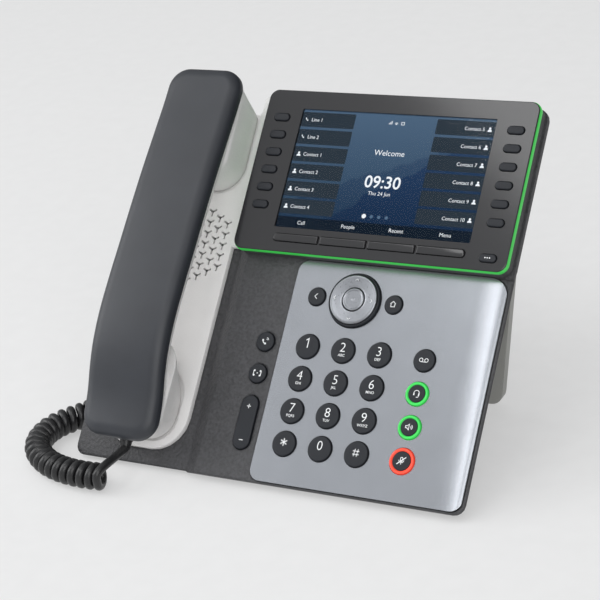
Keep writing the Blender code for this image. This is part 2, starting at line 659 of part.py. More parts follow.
def make_inner_parts(frame, looks):
    board = body("main_board", [prism(rectangle(-0.0600, -0.0320, 0.0660, 0.1400, 0.002, 2), -0.0132, -0.0116)],
                 looks["board"], frame)
    chips = [(-0.0300, 0.0900, 0.0140), (0.0100, 0.0600, 0.0180), (0.0400, 0.1100, 0.0100)]
    tubes = [prism(rectangle(x, y, x + size, y + size, 0), -0.0120, -0.0106) for x, y, size in chips]
    join(board, "chips", tubes, frame)
    profile = ((0.0100, -0.0200), (0.0130, -0.0165), (0.0195, -0.0140), (0.0200, -0.0105))
    smooth(body("ringer_speaker", [turned(profile)], looks["speaker"], frame, (HANDSET_X, SPEAKER_Y, 0.0)))


# The handset --------------------------------------------------------------------------------


def parting_height(y):
    """The height of the parting line, straight between its points."""
    for (y0, z0), (y1, z1) in zip(PARTING, PARTING[1:]):
        if y <= y1:
            break
    share = min(max((y - y0) / (y1 - y0), 0.0), 1.0)
    return z0 + (z1 - z0) * share


def handset_stations(inset=0.0):
    """Places up the handset, close together at its round ends, with the half width there."""
    low, high = HANDSET_LOW_END + inset, HANDSET_HIGH_END - inset
    radius = HANDSET_END_RADIUS - inset
    half = HANDSET_HALF - inset
    stations = []
    for k in range(6):
        angle = math.pi / 2 * k / 5
        stations.append((radius * (1 - math.cos(angle)), half - radius * (1 - math.sin(angle))))
    middle = [low + radius + (high - low - 2 * radius) * k / 11 for k in range(1, 11)]
    front = [(low + depth, width) for depth, width in stations]
    rear = [(high - depth, width) for depth, width in reversed(stations)]
    return front + [(y, half) for y in middle] + rear


def crown(y, low, high, height):
    """The crown's height, which falls to the side wall at both ends."""
    reach = 0.012
    near = min(y - low, high - y, reach) / reach
    return height * max(math.sqrt(1 - (1 - near) ** 2), 0.08)


def dome_ring(y, half, base, side, height, steps=10):
    """A closed section across the handset: flat below, with a side wall and a crowned top."""
    power = 2.4
    ring = [(HANDSET_X + half, y, base)]
    for k in range(steps + 1):
        angle = math.pi * k / steps
        c, s = math.cos(angle), math.sin(angle)
        x = half * math.copysign(abs(c) ** (2 / power), c)
        ring.append((HANDSET_X + x, y, base + side + height * abs(s) ** (2 / power)))
    ring.append((HANDSET_X - half, y, base))
    return ring


def make_handset(frame, looks):
    rings = []
    for y, half in handset_stations():
        height = crown(y, HANDSET_LOW_END, HANDSET_HIGH_END, HANDSET_CROWN)
        rings.append(dome_ring(y, half, parting_height(y), HANDSET_SIDE, height))
    top = body("handset_top_shell", [rings], looks["handset"], frame)
    rings = []
    for y, half in handset_stations(HANDSET_WALL):
        height = crown(y, HANDSET_LOW_END, HANDSET_HIGH_END, HANDSET_CROWN)
        base = parting_height(y) - 0.0040
        rings.append(dome_ring(y, half, base, 0.0040 + HANDSET_SIDE - 0.0008, max(height - HANDSET_WALL, 0.0004)))
    cut(top, "top_shell_hollow", [rings], frame)
    smooth(top, 50)

    rings = []
    for y, half in handset_stations(0.0004):
        level = parting_height(y) - GAP
        height = crown(y, HANDSET_LOW_END, HANDSET_HIGH_END, GRIP_DEPTH - 0.003)
        ring = dome_ring(y, half, 0.0, 0.003, height)
        rings.append([(x, py, level - z) for x, py, z in reversed(ring)])
    bottom = body("handset_bottom_shell", [rings], looks["pale"], frame)
    for name, block in (("ear_block", EAR_BLOCK), ("mouth_block", MOUTH_BLOCK)):
        levels = ((0.0, HANDSET_FOOT), (0.12, HANDSET_FOOT + 0.0020), (1.0, block["height"]))
        join(bottom, name, [block_rings(block, levels)], frame)
    rings = []
    for y, half in handset_stations(HANDSET_WALL + 0.0010):
        ring = dome_ring(y, half, 0.0, 0.003, 0.0035)
        rings.append([(x, py, parting_height(y) + 0.001 - z) for x, py, z in reversed(ring)])
    cut(bottom, "grip_hollow", [rings], frame)
    for name, block in (("ear_hollow", EAR_BLOCK), ("mouth_hollow", MOUTH_BLOCK)):
        half = block["half"][0] - BLOCK_HOLLOW["wall"]
        low, high = block["foot"][0] + BLOCK_HOLLOW["end"], block["foot"][1] - BLOCK_HOLLOW["end"]
        outline = rectangle(HANDSET_X - half, low, HANDSET_X + half, high, BLOCK_HOLLOW["corner"], 4)
        cut(bottom, name, [prism(outline, HANDSET_FOOT + 0.0025, BLOCK_HOLLOW["roof"])], frame)
    smooth(bottom, 50)


# The stand, feet and cord -------------------------------------------------------------------


def on_slope(y, z):
    """Where a slab-frame (y, z) lies in the desk frame."""
    c, s = math.cos(TILT), math.sin(TILT)
    return y * c - z * s - front_edge()[0], y * s + z * c - front_edge()[1]


def front_edge():
    """The slab's rest edge, in the slab's own turned axes, with the pad's height below it."""
    c, s = math.cos(TILT), math.sin(TILT)
    edge = SLAB_BOTTOM + DRAFT
    return edge * c - RIM_LOW * s, edge * s + RIM_LOW * c - PAD_THICKNESS - GAP


def make_stand(desk, looks):
    level = PAD_THICKNESS + GAP
    near, far = BACK - GAP, BACK - GAP - CLIP_THICKNESS

    def meet(depth, y):
        """The height at which the slab-parallel plane at a depth passes over y."""
        base = on_slope(0.0, depth)
        return base[1] + (y - base[0]) * math.tan(TILT)

    back = LEG_FRONT + LEG_THICKNESS
    section = [(LEG_FRONT, level), (back, level), (back, meet(far, back)), on_slope(CLIP_TOP, far),
               on_slope(CLIP_TOP, near), (LEG_FRONT, meet(near, LEG_FRONT))]
    wide = 0.11
    rings = [[(MID_X + side, y, z) for y, z in section] for side in (-wide, wide)]
    stand = body("stand", [rings], looks["pale"], desk)
    shoulder = meet(far, back)
    trim = fillet([
        (MID_X - LEG_FOOT_HALF, level, LEG_CORNER), (MID_X + LEG_FOOT_HALF, level, LEG_CORNER),
        (MID_X + LEG_TOP_HALF, shoulder, 0.004), (MID_X + CLIP_HALF, 0.13, 0.004),
        (MID_X - CLIP_HALF, 0.13, 0.004), (MID_X - LEG_TOP_HALF, shoulder, 0.004),
    ])
    trim_rings = [[(x, y, z) for x, z in trim] for y in (0.08, 0.18)]
    combine(stand, body("stand_trim", [trim_rings], parent=desk), "INTERSECT")
    pockets = []
    for i in range(3):
        middle = MID_X + (i - 1) * 0.050
        outline = rectangle(middle - 0.0225, level + 0.0090, middle + 0.0225, shoulder - 0.0140, 0.004, 3)
        pockets.append([[(x, y, z) for x, z in outline] for y in (LEG_FRONT + 0.0022, back + 0.01)])
    cut(stand, "stand_pockets", pockets, desk)
    strip(desk, looks, "stand_foot_pad", LEG_FOOT_HALF - 0.010, LEG_FRONT + 0.0004, back - 0.0004)


def strip(desk, looks, name, half, low, high):
    outline = rectangle(MID_X - half, low, MID_X + half, high, 0.002, 3)
    body(name, [prism(outline, 0.0, PAD_THICKNESS)], looks["rubber"], desk)


def cord_route():
    """The cord's points in the desk frame: out of the handset, over the desk and up to the jack."""
    exit_y, exit_z = on_slope(MOUTH_BLOCK["foot"][0] - 0.0038, 0.0080)
    curl = [Vector((x, y, CURL_LEVEL)) for x, y in CURL_ROUTE]
    start = curl[0] + Vector((3 * GAP, 0, 0))
    lead = [
        Vector((CORD_EXIT_X, exit_y, exit_z)), Vector((CORD_EXIT_X + 0.0004, exit_y - 0.0040, exit_z - 0.0034)),
        Vector((-0.1043, -0.0238, 0.0132)), Vector((-0.1042, -0.0274, 0.0098)),
        start + Vector((0.0030, 0, 0)), start,
    ]
    jack_y, jack_z = on_slope(JACK_Y, BACK - JACK_SIZE[2] / 2)
    socket = Vector((JACK_X - JACK_SIZE[0] / 2 - GAP, jack_y, jack_z))
    leave = (curl[-1] - curl[-2]).normalized()
    tail = [
        curl[-1] + leave * GAP, curl[-1] + leave * 0.0050,
        Vector((-0.1385, 0.0460, 0.0150)), socket - Vector((0.0050, 0, 0)), socket,
    ]
    return lead, curl, tail


def make_cord(desk, looks):
    lead, curl, tail = cord_route()
    cord_tube("cord_lead_handset", lead, CORD_DIAMETER, 2, 0.004, looks["cord"], desk)
    cord_tube("cord_curl", curl, CURL_DIAMETER, 3, 0.011, looks["cord"], desk)
    cord_tube("cord_lead_base", tail, CORD_DIAMETER, 2, 0.0045, looks["cord"], desk)


def centre_on_origin(phone):
    """Move the phone so that its box, without the cord, stands on the origin."""
    bpy.context.view_layer.update()
    corners = []
    for piece in bpy.data.objects:
        if piece.type == "MESH" and not piece.hide_render:
            corners += [piece.matrix_world @ vertex.co for vertex in piece.data.vertices]
    lows = [min(c[i] for c in corners) for i in range(2)]
    highs = [max(c[i] for c in corners) for i in range(2)]
    phone.location = (-(lows[0] + highs[0]) / 2, -(lows[1] + highs[1]) / 2, 0.0)


def main():
    for old in list(bpy.data.objects):
        bpy.data.objects.remove(old)
    looks = make_finishes()
    phone = empty("phone")
    y, z = on_slope(0.0, 0.0)
    slab = empty("slab_frame", phone, (0.0, y, z), (TILT, 0, 0))
    make_front_housing(slab, looks)
    make_rear_housing(slab, looks)
    make_faceplate(slab, looks)
    make_head(slab, looks)
    make_head_keys(slab, looks)
    make_keypad(slab, looks)
    make_navigation(slab, looks)
    make_cradle(slab, looks)
    make_inner_parts(slab, looks)
    make_handset(slab, looks)
    make_stand(phone, looks)
    strip(phone, looks, "base_foot_pad", 0.090, 0.0040, 0.0130)
    make_cord(phone, looks)
    centre_on_origin(phone)


main()
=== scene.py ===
"""The looks of the desk IP phone: finishes, fine shells, key legends, the screen picture and the cord.

Lengths are in metres. The slab frame is the tilted frame of the phone's front: +X to the phone's right,
+Y up the slope and +Z out of the keypad, from the middle of the twelve dial keys, level with the faceplate.
The desk frame has the same X, +Y to the back and +Z up, from the slab's front rest edge on the desk.
"""

import json
import math

import bmesh
import bpy
from mathutils import Matrix, Vector

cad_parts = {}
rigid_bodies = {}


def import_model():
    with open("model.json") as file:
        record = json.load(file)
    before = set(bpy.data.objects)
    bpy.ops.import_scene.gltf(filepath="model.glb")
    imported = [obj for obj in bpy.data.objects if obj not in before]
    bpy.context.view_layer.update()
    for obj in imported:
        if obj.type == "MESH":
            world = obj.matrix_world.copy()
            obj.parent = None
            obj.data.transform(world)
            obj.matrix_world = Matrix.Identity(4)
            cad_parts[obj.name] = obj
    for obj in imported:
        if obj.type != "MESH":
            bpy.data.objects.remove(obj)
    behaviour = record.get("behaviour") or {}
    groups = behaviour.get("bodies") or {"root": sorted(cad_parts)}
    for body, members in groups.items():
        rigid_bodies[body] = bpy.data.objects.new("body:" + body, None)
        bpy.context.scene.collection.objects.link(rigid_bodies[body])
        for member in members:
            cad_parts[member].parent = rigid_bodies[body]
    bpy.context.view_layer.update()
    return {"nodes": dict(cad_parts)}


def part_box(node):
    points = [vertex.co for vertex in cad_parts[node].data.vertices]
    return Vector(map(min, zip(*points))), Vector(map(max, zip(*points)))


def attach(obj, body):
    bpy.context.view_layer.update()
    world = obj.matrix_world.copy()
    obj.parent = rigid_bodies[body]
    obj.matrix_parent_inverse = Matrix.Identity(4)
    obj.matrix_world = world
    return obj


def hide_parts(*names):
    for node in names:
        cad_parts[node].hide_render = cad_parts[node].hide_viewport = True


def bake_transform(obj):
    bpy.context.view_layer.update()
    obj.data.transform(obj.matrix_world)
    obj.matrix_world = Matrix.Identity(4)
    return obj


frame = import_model()

# --- Driving dimensions, which follow the part's source ---

TILT = math.radians(45)
GAP = 0.0003
CLEARANCE = 0.0004
SLAB_BOTTOM = -0.0465
SLAB_SURFACE = -0.0006
RIM_LOW = -0.0100
DRAFT = 0.0042
BACK = -0.0240
PAD_THICKNESS = 0.0012

PLATE_LEFT, PLATE_RIGHT = -0.0357, 0.0786
PLATE_BOTTOM, PLATE_TOP = -0.0454, 0.0702
PLATE_CORNER, PLATE_TOP_RIGHT_CORNER = 0.0060, 0.0090
PLATE_THICKNESS = 0.0016
ROLL_START, ROLL_DROP = 0.0640, 0.0022

HEAD_LEFT, HEAD_RIGHT = -0.0721, 0.0794
HEAD_BOTTOM, HEAD_TOP = 0.0706, 0.1588
HEAD_CORNER, HEAD_WALL = 0.0050, 0.0032
BEZEL_FRONT, BEZEL_FLANGE, BEZEL_BACK = 0.0090, 0.0007, 0.0060
LIGHT_BAR_LOW, LIGHT_BAR_HIGH, LIGHT_BAR_PROUD = 0.0052, 0.0080, 0.0004
SCREEN_X, SCREEN_Y = 0.0038, 0.1162
SCREEN_OPENING = (0.1090, 0.0650)
SCREEN_HALF_WIDTH, SCREEN_HALF_HEIGHT = 0.0542, 0.0322
SCREEN_LEVEL = 0.0078
LABEL_HEIGHT = 0.0020

DIAL_PITCH_X, DIAL_PITCH_Y = 0.0200, 0.0168
DIAL_RADIUS = 0.00635
KEY_TOP, KEY_FOOT = 0.0012, -0.0046
KEY_FLANGE, KEY_EDGE, CAP_EDGE = 0.0009, 0.0005, 0.0006
FUNCTION_X = 0.0445
VOICEMAIL_RADIUS, LIT_KEY_RADIUS, MUTE_KEY_RADIUS = 0.0056, 0.0059, 0.0064
NAV_Y, NAV_SIDE, NAV_SIDE_RADIUS = 0.0514, 0.0215, 0.0047
NAV_SKIRT_RADIUS, NAV_RING_RADIUS, NAV_HUB_RADIUS = 0.0140, 0.0129, 0.0059
NAV_SKIRT_TOP, NAV_SKIRT_FLOOR, NAV_SKIRT_FOOT, NAV_RING_TOP = 0.0019, -0.0010, -0.0030, 0.0028
LEFT_KEY_RADIUS = 0.0050
ROCKER_SIZE, ROCKER_Y = (0.0096, 0.0280), -0.0172
ROCKER_TOP, ROCKER_FOOT = 0.0006, -0.0042
LINE_KEY_SIZE, LINE_KEY_X, LINE_KEY_TOP_Y, LINE_KEY_PITCH = (0.0090, 0.0041), 0.0656, 0.1433, 0.00966
SOFT_KEY_SIZE, SOFT_KEY_PITCH, SOFT_KEY_Y, MORE_KEY_Y = (0.0256, 0.0040), 0.0269, 0.0781, 0.0769
HEAD_KEY_TOP, HEAD_KEY_FOOT = 0.0100, 0.0035
SOFT_KEY_END, SOFT_KEY_CORNER = 0.0018, 0.0003

HANDSET_X = -0.1036
TRAY_HALF, TRAY_BOTTOM, TRAY_TOP = 0.0243, -0.0373, 0.1485
TRAY_SURFACE, TRAY_BACK, TRAY_CORNER = -0.0020, -0.0060, 0.0190
TRAY_STEP, TRAY_TONGUE_LEFT, TRAY_TONGUE_RIGHT = 0.0740, -0.0795, -0.0735
TONGUE_LIP = 0.0016  # only the shown tray has this lip beside the head
POCKET_FLOOR = -0.0035
HOOK_Y, HOOK_HOLE = 0.1150, 0.0039
GRILLE_X, GRILLE_Y, GRILLE_COLUMN, GRILLE_ROW = -0.1012, 0.0744, 0.0054, 0.00593
GRILLE_ARM, GRILLE_HALF_WIDTH = 0.0026, 0.00048
HANDSET_HALF, HANDSET_LOW_END, HANDSET_HIGH_END = 0.0219, -0.0386, 0.1618
HANDSET_END_RADIUS, HANDSET_CROWN, HANDSET_SIDE = 0.0115, 0.0055, 0.0020
GRIP_DEPTH, HANDSET_FOOT = 0.0110, -0.0032
PARTING = (
    (-0.0386, 0.0184), (-0.0280, 0.0190), (-0.0178, 0.0208), (-0.0050, 0.0249), (0.0070, 0.0277),
    (0.0225, 0.0291), (0.0420, 0.0287), (0.0612, 0.0276), (0.0820, 0.0265), (0.1032, 0.0250),
    (0.1250, 0.0229), (0.1450, 0.0211), (0.1606, 0.0208),
)
# An end block's corners are those at its low end, and those at its high end at the foot and at the top.
EAR_BLOCK = {"foot": (0.1040, 0.1487), "top": (0.1010, 0.1590), "half": (0.0208, 0.0213),
             "height": 0.0185, "corners": (0.0145, 0.0045, 0.0105)}
MOUTH_BLOCK = {"foot": (-0.0322, 0.0020), "top": (-0.0370, 0.0170), "half": (0.0174, 0.0212),
               "height": 0.0165, "corners": (0.0130, 0.0150, 0.0150)}
POCKET_MARGIN = 0.0012

CORD_EXIT_X = -0.1054
CORD_DIAMETER = 0.0046
CURL_DIAMETER = 0.0144
CURL_LEVEL = 0.0076
CURL_PITCH = 0.0050
CURL_ROUTE = (
    (-0.1100, -0.0290), (-0.1164, -0.0296), (-0.1240, -0.0296), (-0.1325, -0.0287), (-0.1412, -0.0265),
    (-0.1490, -0.0230), (-0.1562, -0.0180), (-0.1615, -0.0120), (-0.1648, -0.0045), (-0.1654, 0.0040),
    (-0.1632, 0.0118), (-0.1590, 0.0185), (-0.1542, 0.0252), (-0.1500, 0.0325),
)
JACK_SIZE, JACK_X, JACK_Y = (0.0140, 0.0140, 0.0090), -0.1165, 0.0120
JACK_APPROACH = (-0.1385, 0.0460, 0.0150)
LEAD_SPACING = 0.0022


def on_slope(y, z):
    """Where a slab-frame (y, z) lies in the desk frame."""
    c, s = math.cos(TILT), math.sin(TILT)
    edge = SLAB_BOTTOM + DRAFT
    front = edge * c - RIM_LOW * s, edge * s + RIM_LOW * c - PAD_THICKNESS - GAP
    return y * c - z * s - front[0], y * s + z * c - front[1]


def slab_origin():
    """The slab frame's origin, from the boxes of two dial keys that lie as far above it as below."""
    corners = [corner for name in ("dial_key_5", "dial_key_8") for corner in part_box(name)]
    middle = sum(corners, Vector()) / 4
    box_middle = (KEY_TOP - KEY_EDGE + KEY_FOOT - KEY_FLANGE) / 2
    return middle - Matrix.Rotation(TILT, 3, "X") @ Vector((0, 0, box_middle))


SLAB = Matrix.Translation(slab_origin()) @ Matrix.Rotation(TILT, 4, "X")
DESK = Matrix.Translation(slab_origin() - Vector((0, *on_slope(0, 0))))


# --- Outlines and bodies ---


def fillet(corners, steps=12):
    """An anticlockwise outline from (x, y, radius) corners, each rounded with an arc."""
    outline = []
    for i, (x, y, radius) in enumerate(corners):
        here = Vector((x, y))
        if radius <= 0:
            outline.append((x, y))
            continue
        before = (Vector(corners[i - 1][:2]) - here).normalized()
        after = (Vector(corners[(i + 1) % len(corners)][:2]) - here).normalized()
        half = before.angle(after) / 2
        centre = here + (before + after).normalized() * (radius / math.sin(half))
        start = here + before * (radius / math.tan(half)) - centre
        end = here + after * (radius / math.tan(half)) - centre
        turn = math.atan2(start.x * end.y - start.y * end.x, start.dot(end))
        for k in range(steps + 1):
            angle = turn * k / steps
            c, s = math.cos(angle), math.sin(angle)
            outline.append((centre.x + c * start.x - s * start.y, centre.y + s * start.x + c * start.y))
    return outline


def rectangle(left, bottom, right, top, radius, steps=12):
    corners = ((left, bottom), (right, bottom), (right, top), (left, top))
    return fillet([(x, y, radius) for x, y in corners], steps)


def pill(size, inset=0.0, left_radius=None, right_radius=None, steps=10):
    """A rectangle about the origin with round ends, or with the end radii given."""
    x, y = size[0] / 2 - inset, size[1] / 2 - inset
    full = min(x, y) - 0.00001
    low = full if left_radius is None else max(left_radius - inset, 0.0001)
    high = full if right_radius is None else max(right_radius - inset, 0.0001)
    return fillet([(-x, -y, low), (x, -y, high), (x, y, high), (-x, y, low)], steps)


def circle(radius, x=0.0, y=0.0, steps=56):
    angles = [2 * math.pi * k / steps for k in range(steps)]
    return [(x + radius * math.cos(a), y + radius * math.sin(a)) for a in angles]


def shifted(outline, x, y):
    return [(px + x, py + y) for px, py in outline]


def at_level(outline, z):
    return [(x, y, z) for x, y in outline]


def prism(outline, low, high):
    return [at_level(outline, low), at_level(outline, high)]


def turned(profile, steps=56):
    """Rings for a body turned about Z, from (radius, z) pairs, bottom to top."""
    return [at_level(circle(radius, steps=steps), z) for radius, z in profile]


def bead(radius, top, edge, steps=5):
    """The (radius, z) pairs of a rounded rim, from the side wall over to the flat top."""
    angles = [math.pi / 2 * k / steps for k in range(steps + 1)]
    return [(radius - edge * (1 - math.cos(a)), top - edge * (1 - math.sin(a))) for a in angles]


def across(profile, low, high):
    """Rings for a bar along Y with a constant (x, z) section."""
    return [[(x, y, z) for x, z in profile] for y in (low, high)]


def add_tube(mesh, rings, closed=False):
    """Add the body through the rings, each a list of as many points: capped, or closed on itself."""
    rows = [[mesh.verts.new(point) for point in ring] for ring in rings]
    count = len(rows[0])
    pairs = list(zip(rows, rows[1:]))
    if closed:
        pairs.append((rows[-1], rows[0]))
    for low, high in pairs:
        for k in range(count):
            following = (k + 1) % count
            mesh.faces.new((low[k], low[following], high[following], high[k]))
    if not closed:
        mesh.faces.new(reversed(rows[0]))
        mesh.faces.new(rows[-1])


def ring_rows(profile, steps=72):
    """Rings around a closed (radius, z) section, for a body with a round hole, turned about Z."""
    angles = [2 * math.pi * k / steps for k in range(steps)]
    return [[(radius * math.cos(a), radius * math.sin(a), z) for radius, z in profile] for a in angles]


def body(name, tubes, material=None, at=SLAB, closed=False):
    """An object made of one or more tubes of rings; without a material it is a cutter."""
    mesh = bmesh.new()
    for rings in tubes:
        add_tube(mesh, rings, closed)
    bmesh.ops.recalc_face_normals(mesh, faces=mesh.faces[:])
    data = bpy.data.meshes.new(name)
    mesh.to_mesh(data)
    mesh.free()
    return place(name, data, material, at)


def place(name, data, material, at):
    made = bpy.data.objects.new(name, data)
    bpy.context.scene.collection.objects.link(made)
    made.matrix_world = at
    if material:
        data.materials.append(material)
    return made


def settle(piece, degrees):
    """Apply the piece's modifiers, clear its cutters away and shade it smooth."""
    bpy.context.view_layer.update()
    tools = [modifier.object for modifier in piece.modifiers if getattr(modifier, "object", None)]
    solid = bpy.data.meshes.new_from_object(piece.evaluated_get(bpy.context.evaluated_depsgraph_get()))
    piece.modifiers.clear()
    piece.data = solid
    for tool in tools:
        bpy.data.objects.remove(tool)
    solid.shade_smooth()
    solid.set_sharp_from_angle(angle=math.radians(degrees))
    return piece


def combine(target, name, tubes, operation="DIFFERENCE"):
    change = target.modifiers.new(name, "BOOLEAN")
    change.operation = operation
    change.object = body(name, tubes, at=target.matrix_world.copy())
    change.solver = "EXACT"


def fit(piece, rides, slot, *stands_for):
    """Tie a piece to its CAD body, in place of the CAD nodes it stands for. The slot is not used."""
    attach(piece, rides)
    if stands_for:
        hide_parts(*stands_for)


def add_piece(name, rings, looks, look, at, degrees, rides, closed=False):
    """A piece in its look's material, which takes the place of the CAD node it rides on."""
    piece = body(name, [rings], looks[look], at, closed)
    fit(settle(piece, degrees), rides, look, rides)


# --- Finishes ---


class Finish:
    """A procedural material: a base colour with drift and grain, and rounded edges."""

    def __init__(self, name, colour, roughness, metallic=0.0, drift=0.08, grain=(2500, 0.00002),
                 edge=0.0003, streaks=(1, 1, 1), specular=0.5, dust=0.08):
        self.name = name
        self.material = bpy.data.materials.new(name)
        self.material.use_nodes = True
        self.nodes = self.material.node_tree.nodes
        self.links = self.material.node_tree.links
        self.shader = self.nodes["Principled BSDF"]
        self.shader.inputs["Metallic"].default_value = metallic
        self.shader.inputs["Specular IOR Level"].default_value = specular
        self.where = self.node("TexCoord").outputs["Object"]
        stretch = self.node("Mapping", Scale=streaks)
        self.join(self.where, stretch.inputs["Vector"])
        coarse = self.noise(stretch.outputs[0], 60, 3)
        fine = self.noise(stretch.outputs[0], grain[0], 2)
        tone = self.ramp(coarse, [c * (1 - drift) for c in colour], [c * (1 + drift) for c in colour])
        dusted = self.multiply(self.ramp(fine, (1 - dust,) * 3, (1.0,) * 3), tone)
        self.join(dusted, self.shader.inputs["Base Color"])
        self.join(self.span(fine, roughness * 0.9, roughness * 1.1), self.shader.inputs["Roughness"])
        rounding = self.node("Bevel", Radius=edge)
        rounding.samples = 4
        bump = self.node("Bump", Distance=grain[1])
        self.join(fine, bump.inputs["Height"])
        self.join(rounding.outputs[0], bump.inputs["Normal"])
        self.join(bump.outputs[0], self.shader.inputs["Normal"])

    def node(self, kind, **values):
        """A new node, with a value in each input named."""
        made = self.nodes.new("ShaderNode" + kind)
        for name, value in values.items():
            made.inputs[name].default_value = value
        return made

    def join(self, source, target):
        self.links.new(source, target)

    def noise(self, where, scale, detail):
        made = self.node("TexNoise", Scale=scale, Detail=detail)
        self.join(where, made.inputs["Vector"])
        return made.outputs[0]

    def span(self, value, low, high, start=0.3, end=0.7):
        """A value between start and end, spread from low to high."""
        ends = {"From Min": start, "From Max": end, "To Min": low, "To Max": high}
        made = self.node("MapRange", **ends)
        self.join(value, made.inputs["Value"])
        return made.outputs[0]

    def ramp(self, value, low, high, start=0.3, end=0.7):
        made = self.node("ValToRGB")
        for stop, place_here, colour in zip(made.color_ramp.elements, (start, end), (low, high)):
            stop.position = place_here
            stop.color = (*colour, 1.0)
        self.join(value, made.inputs[0])
        return made.outputs[0]

    def multiply(self, over, under, share=None):
        """One colour darkened by another, everywhere or as far as a socket says."""
        made = self.node("Mix")
        made.data_type = "RGBA"
        made.blend_type = "MULTIPLY"
        made.inputs[0].default_value = 1.0
        self.join(under, made.inputs[6])
        self.join(over, made.inputs[7])
        if share is not None:
            self.join(share, made.inputs[0])
        return made.outputs[2]

    def multiply_add(self, value, factor, plus):
        made = self.node("Math")
        made.operation = "MULTIPLY_ADD"
        made.inputs[1].default_value = factor
        self.join(value, made.inputs[0])
        self.join(plus, made.inputs[2])
        return made.outputs[0]

    def glow(self, colour, strength):
        """Light of the piece's own, with a slight drift in its colour."""
        drift = self.noise(self.where, 90, 2)
        lit = self.ramp(drift, [c * 0.985 for c in colour], [min(c * 1.015, 1) for c in colour])
        self.join(lit, self.shader.inputs["Emission Color"])
        self.shader.inputs["Emission Strength"].default_value = strength
        return self


def make_finishes():
    made = [
        Finish("housing", (0.066, 0.066, 0.071), 0.55, grain=(650, 0.0006), edge=0.0020, dust=0.45),
        Finish("rear", (0.050, 0.051, 0.054), 0.60, grain=(1500, 0.00012), edge=0.0006),
        Finish("faceplate", (0.345, 0.360, 0.388), 0.25, metallic=0.80, drift=0.03,
               grain=(4000, 0.000004), edge=0.0002),
        Finish("pale", (0.835, 0.822, 0.815), 0.45, drift=0.03, edge=0.0005),
        # The stand is the pale plastic: its darker grey is painted shade, for the shade it stands in under
        # the base.
        Finish("stand", (0.33, 0.33, 0.31), 0.45, drift=0.05, edge=0.0012),
        Finish("bezel", (0.026, 0.026, 0.028), 0.12, drift=0.03, grain=(3000, 0.000004), edge=0.0002),
        Finish("green", (0.02, 0.34, 0.04), 0.35, edge=0.0002).glow((0.035, 0.62, 0.075), 0.38),
        Finish("lit_green", (0.05, 0.60, 0.10), 0.35, edge=0.0001).glow((0.03, 0.50, 0.07), 0.45),
        Finish("lit_red", (0.85, 0.08, 0.04), 0.35, edge=0.0001).glow((0.75, 0.05, 0.03), 0.45),
        Finish("key", (0.015, 0.017, 0.022), 0.45, specular=0.3, grain=(3500, 0.00001), edge=0.0002),
        # The legends are print: their faint glow is painted light.
        Finish("legend", (0.78, 0.79, 0.80), 0.50, drift=0.04, edge=0.00001).glow((0.8,) * 3, 0.10),
        Finish("silver", (0.27, 0.28, 0.30), 0.30, metallic=0.9, drift=0.12, streaks=(0.3, 0.3, 4.0)),
        Finish("handset", (0.025, 0.028, 0.035), 0.44, grain=(3000, 0.00002), edge=0.0003),
        Finish("cord", (0.012, 0.012, 0.013), 0.33, grain=(1200, 0.00002), edge=0.0001),
        Finish("rubber", (0.03, 0.03, 0.03), 0.80),
        Finish("board", (0.02, 0.16, 0.07), 0.50),
        Finish("speaker", (0.05, 0.05, 0.05), 0.70),
        Finish("socket", (0.012, 0.012, 0.013), 0.55),
    ]
    return {finish.name: finish.material for finish in made}


def make_window():
    """Clear hard-coated glass: seen through, with a reflection that grows towards the edges."""
    glass = Finish("window", (0.9, 0.9, 0.9), 0.05, grain=(800, 0.000001), edge=0.00005)
    kinds = ("BsdfTransparent", "BsdfGlossy", "MixShader")
    clear, shine, blend = (glass.node(kind) for kind in kinds)
    smear = glass.noise(glass.where, 40, 3)
    glass.join(glass.span(smear, 0.05, 0.08), shine.inputs["Roughness"])
    rim = glass.node("Fresnel", IOR=1.12)
    glass.join(rim.outputs[0], blend.inputs[0])
    glass.join(clear.outputs[0], blend.inputs[1])
    glass.join(shine.outputs[0], blend.inputs[2])
    glass.join(blend.outputs[0], glass.nodes["Material Output"].inputs[0])
    glass.nodes.remove(glass.shader)
    return glass.material


# Each ridge's slope, its height over the slab's X axis and how it tints what is behind it.
RIDGES = ((0.40, 0.1225, (0.66, 0.72, 0.82)), (0.62, 0.1115, (0.45, 0.60, 0.80)))
RIDGE_HAZE = 0.0013


def make_sky():
    """The screen's picture: blue sky over two hazy ridges, each step down darker."""
    sky = Finish("picture", (0.005, 0.008, 0.012), 0.5, grain=(800, 0.000001), edge=0.00005, specular=0.0)
    axes = sky.node("SeparateXYZ")
    sky.join(sky.where, axes.inputs[0])
    across, up = axes.outputs[0], axes.outputs[1]
    rise = sky.span(up, 0.0, 1.0, SCREEN_Y - SCREEN_HALF_HEIGHT, SCREEN_Y + SCREEN_HALF_HEIGHT)
    colour = sky.ramp(rise, (0.018, 0.058, 0.120), (0.105, 0.185, 0.300), 0.0, 1.0)
    for slope, level, shade in RIDGES:
        crest = sky.multiply_add(sky.noise(sky.where, 70, 4), 0.012, sky.multiply_add(across, -slope, up))
        below = sky.span(crest, 1.0, 0.0, level, level + RIDGE_HAZE)
        colour = sky.multiply(sky.ramp(rise, shade, shade), colour, below)
    sky.join(colour, sky.shader.inputs["Emission Color"])
    sky.shader.inputs["Emission Strength"].default_value = 0.62
    return sky.material


def make_glowing(name, colour):
    look = Finish(name, [c * 0.1 for c in colour], 0.5, grain=(800, 0.000001), edge=0.00001, specular=0.0)
    return look.glow(colour, 1.0).material


# --- Ink: flat legends and pictures ---


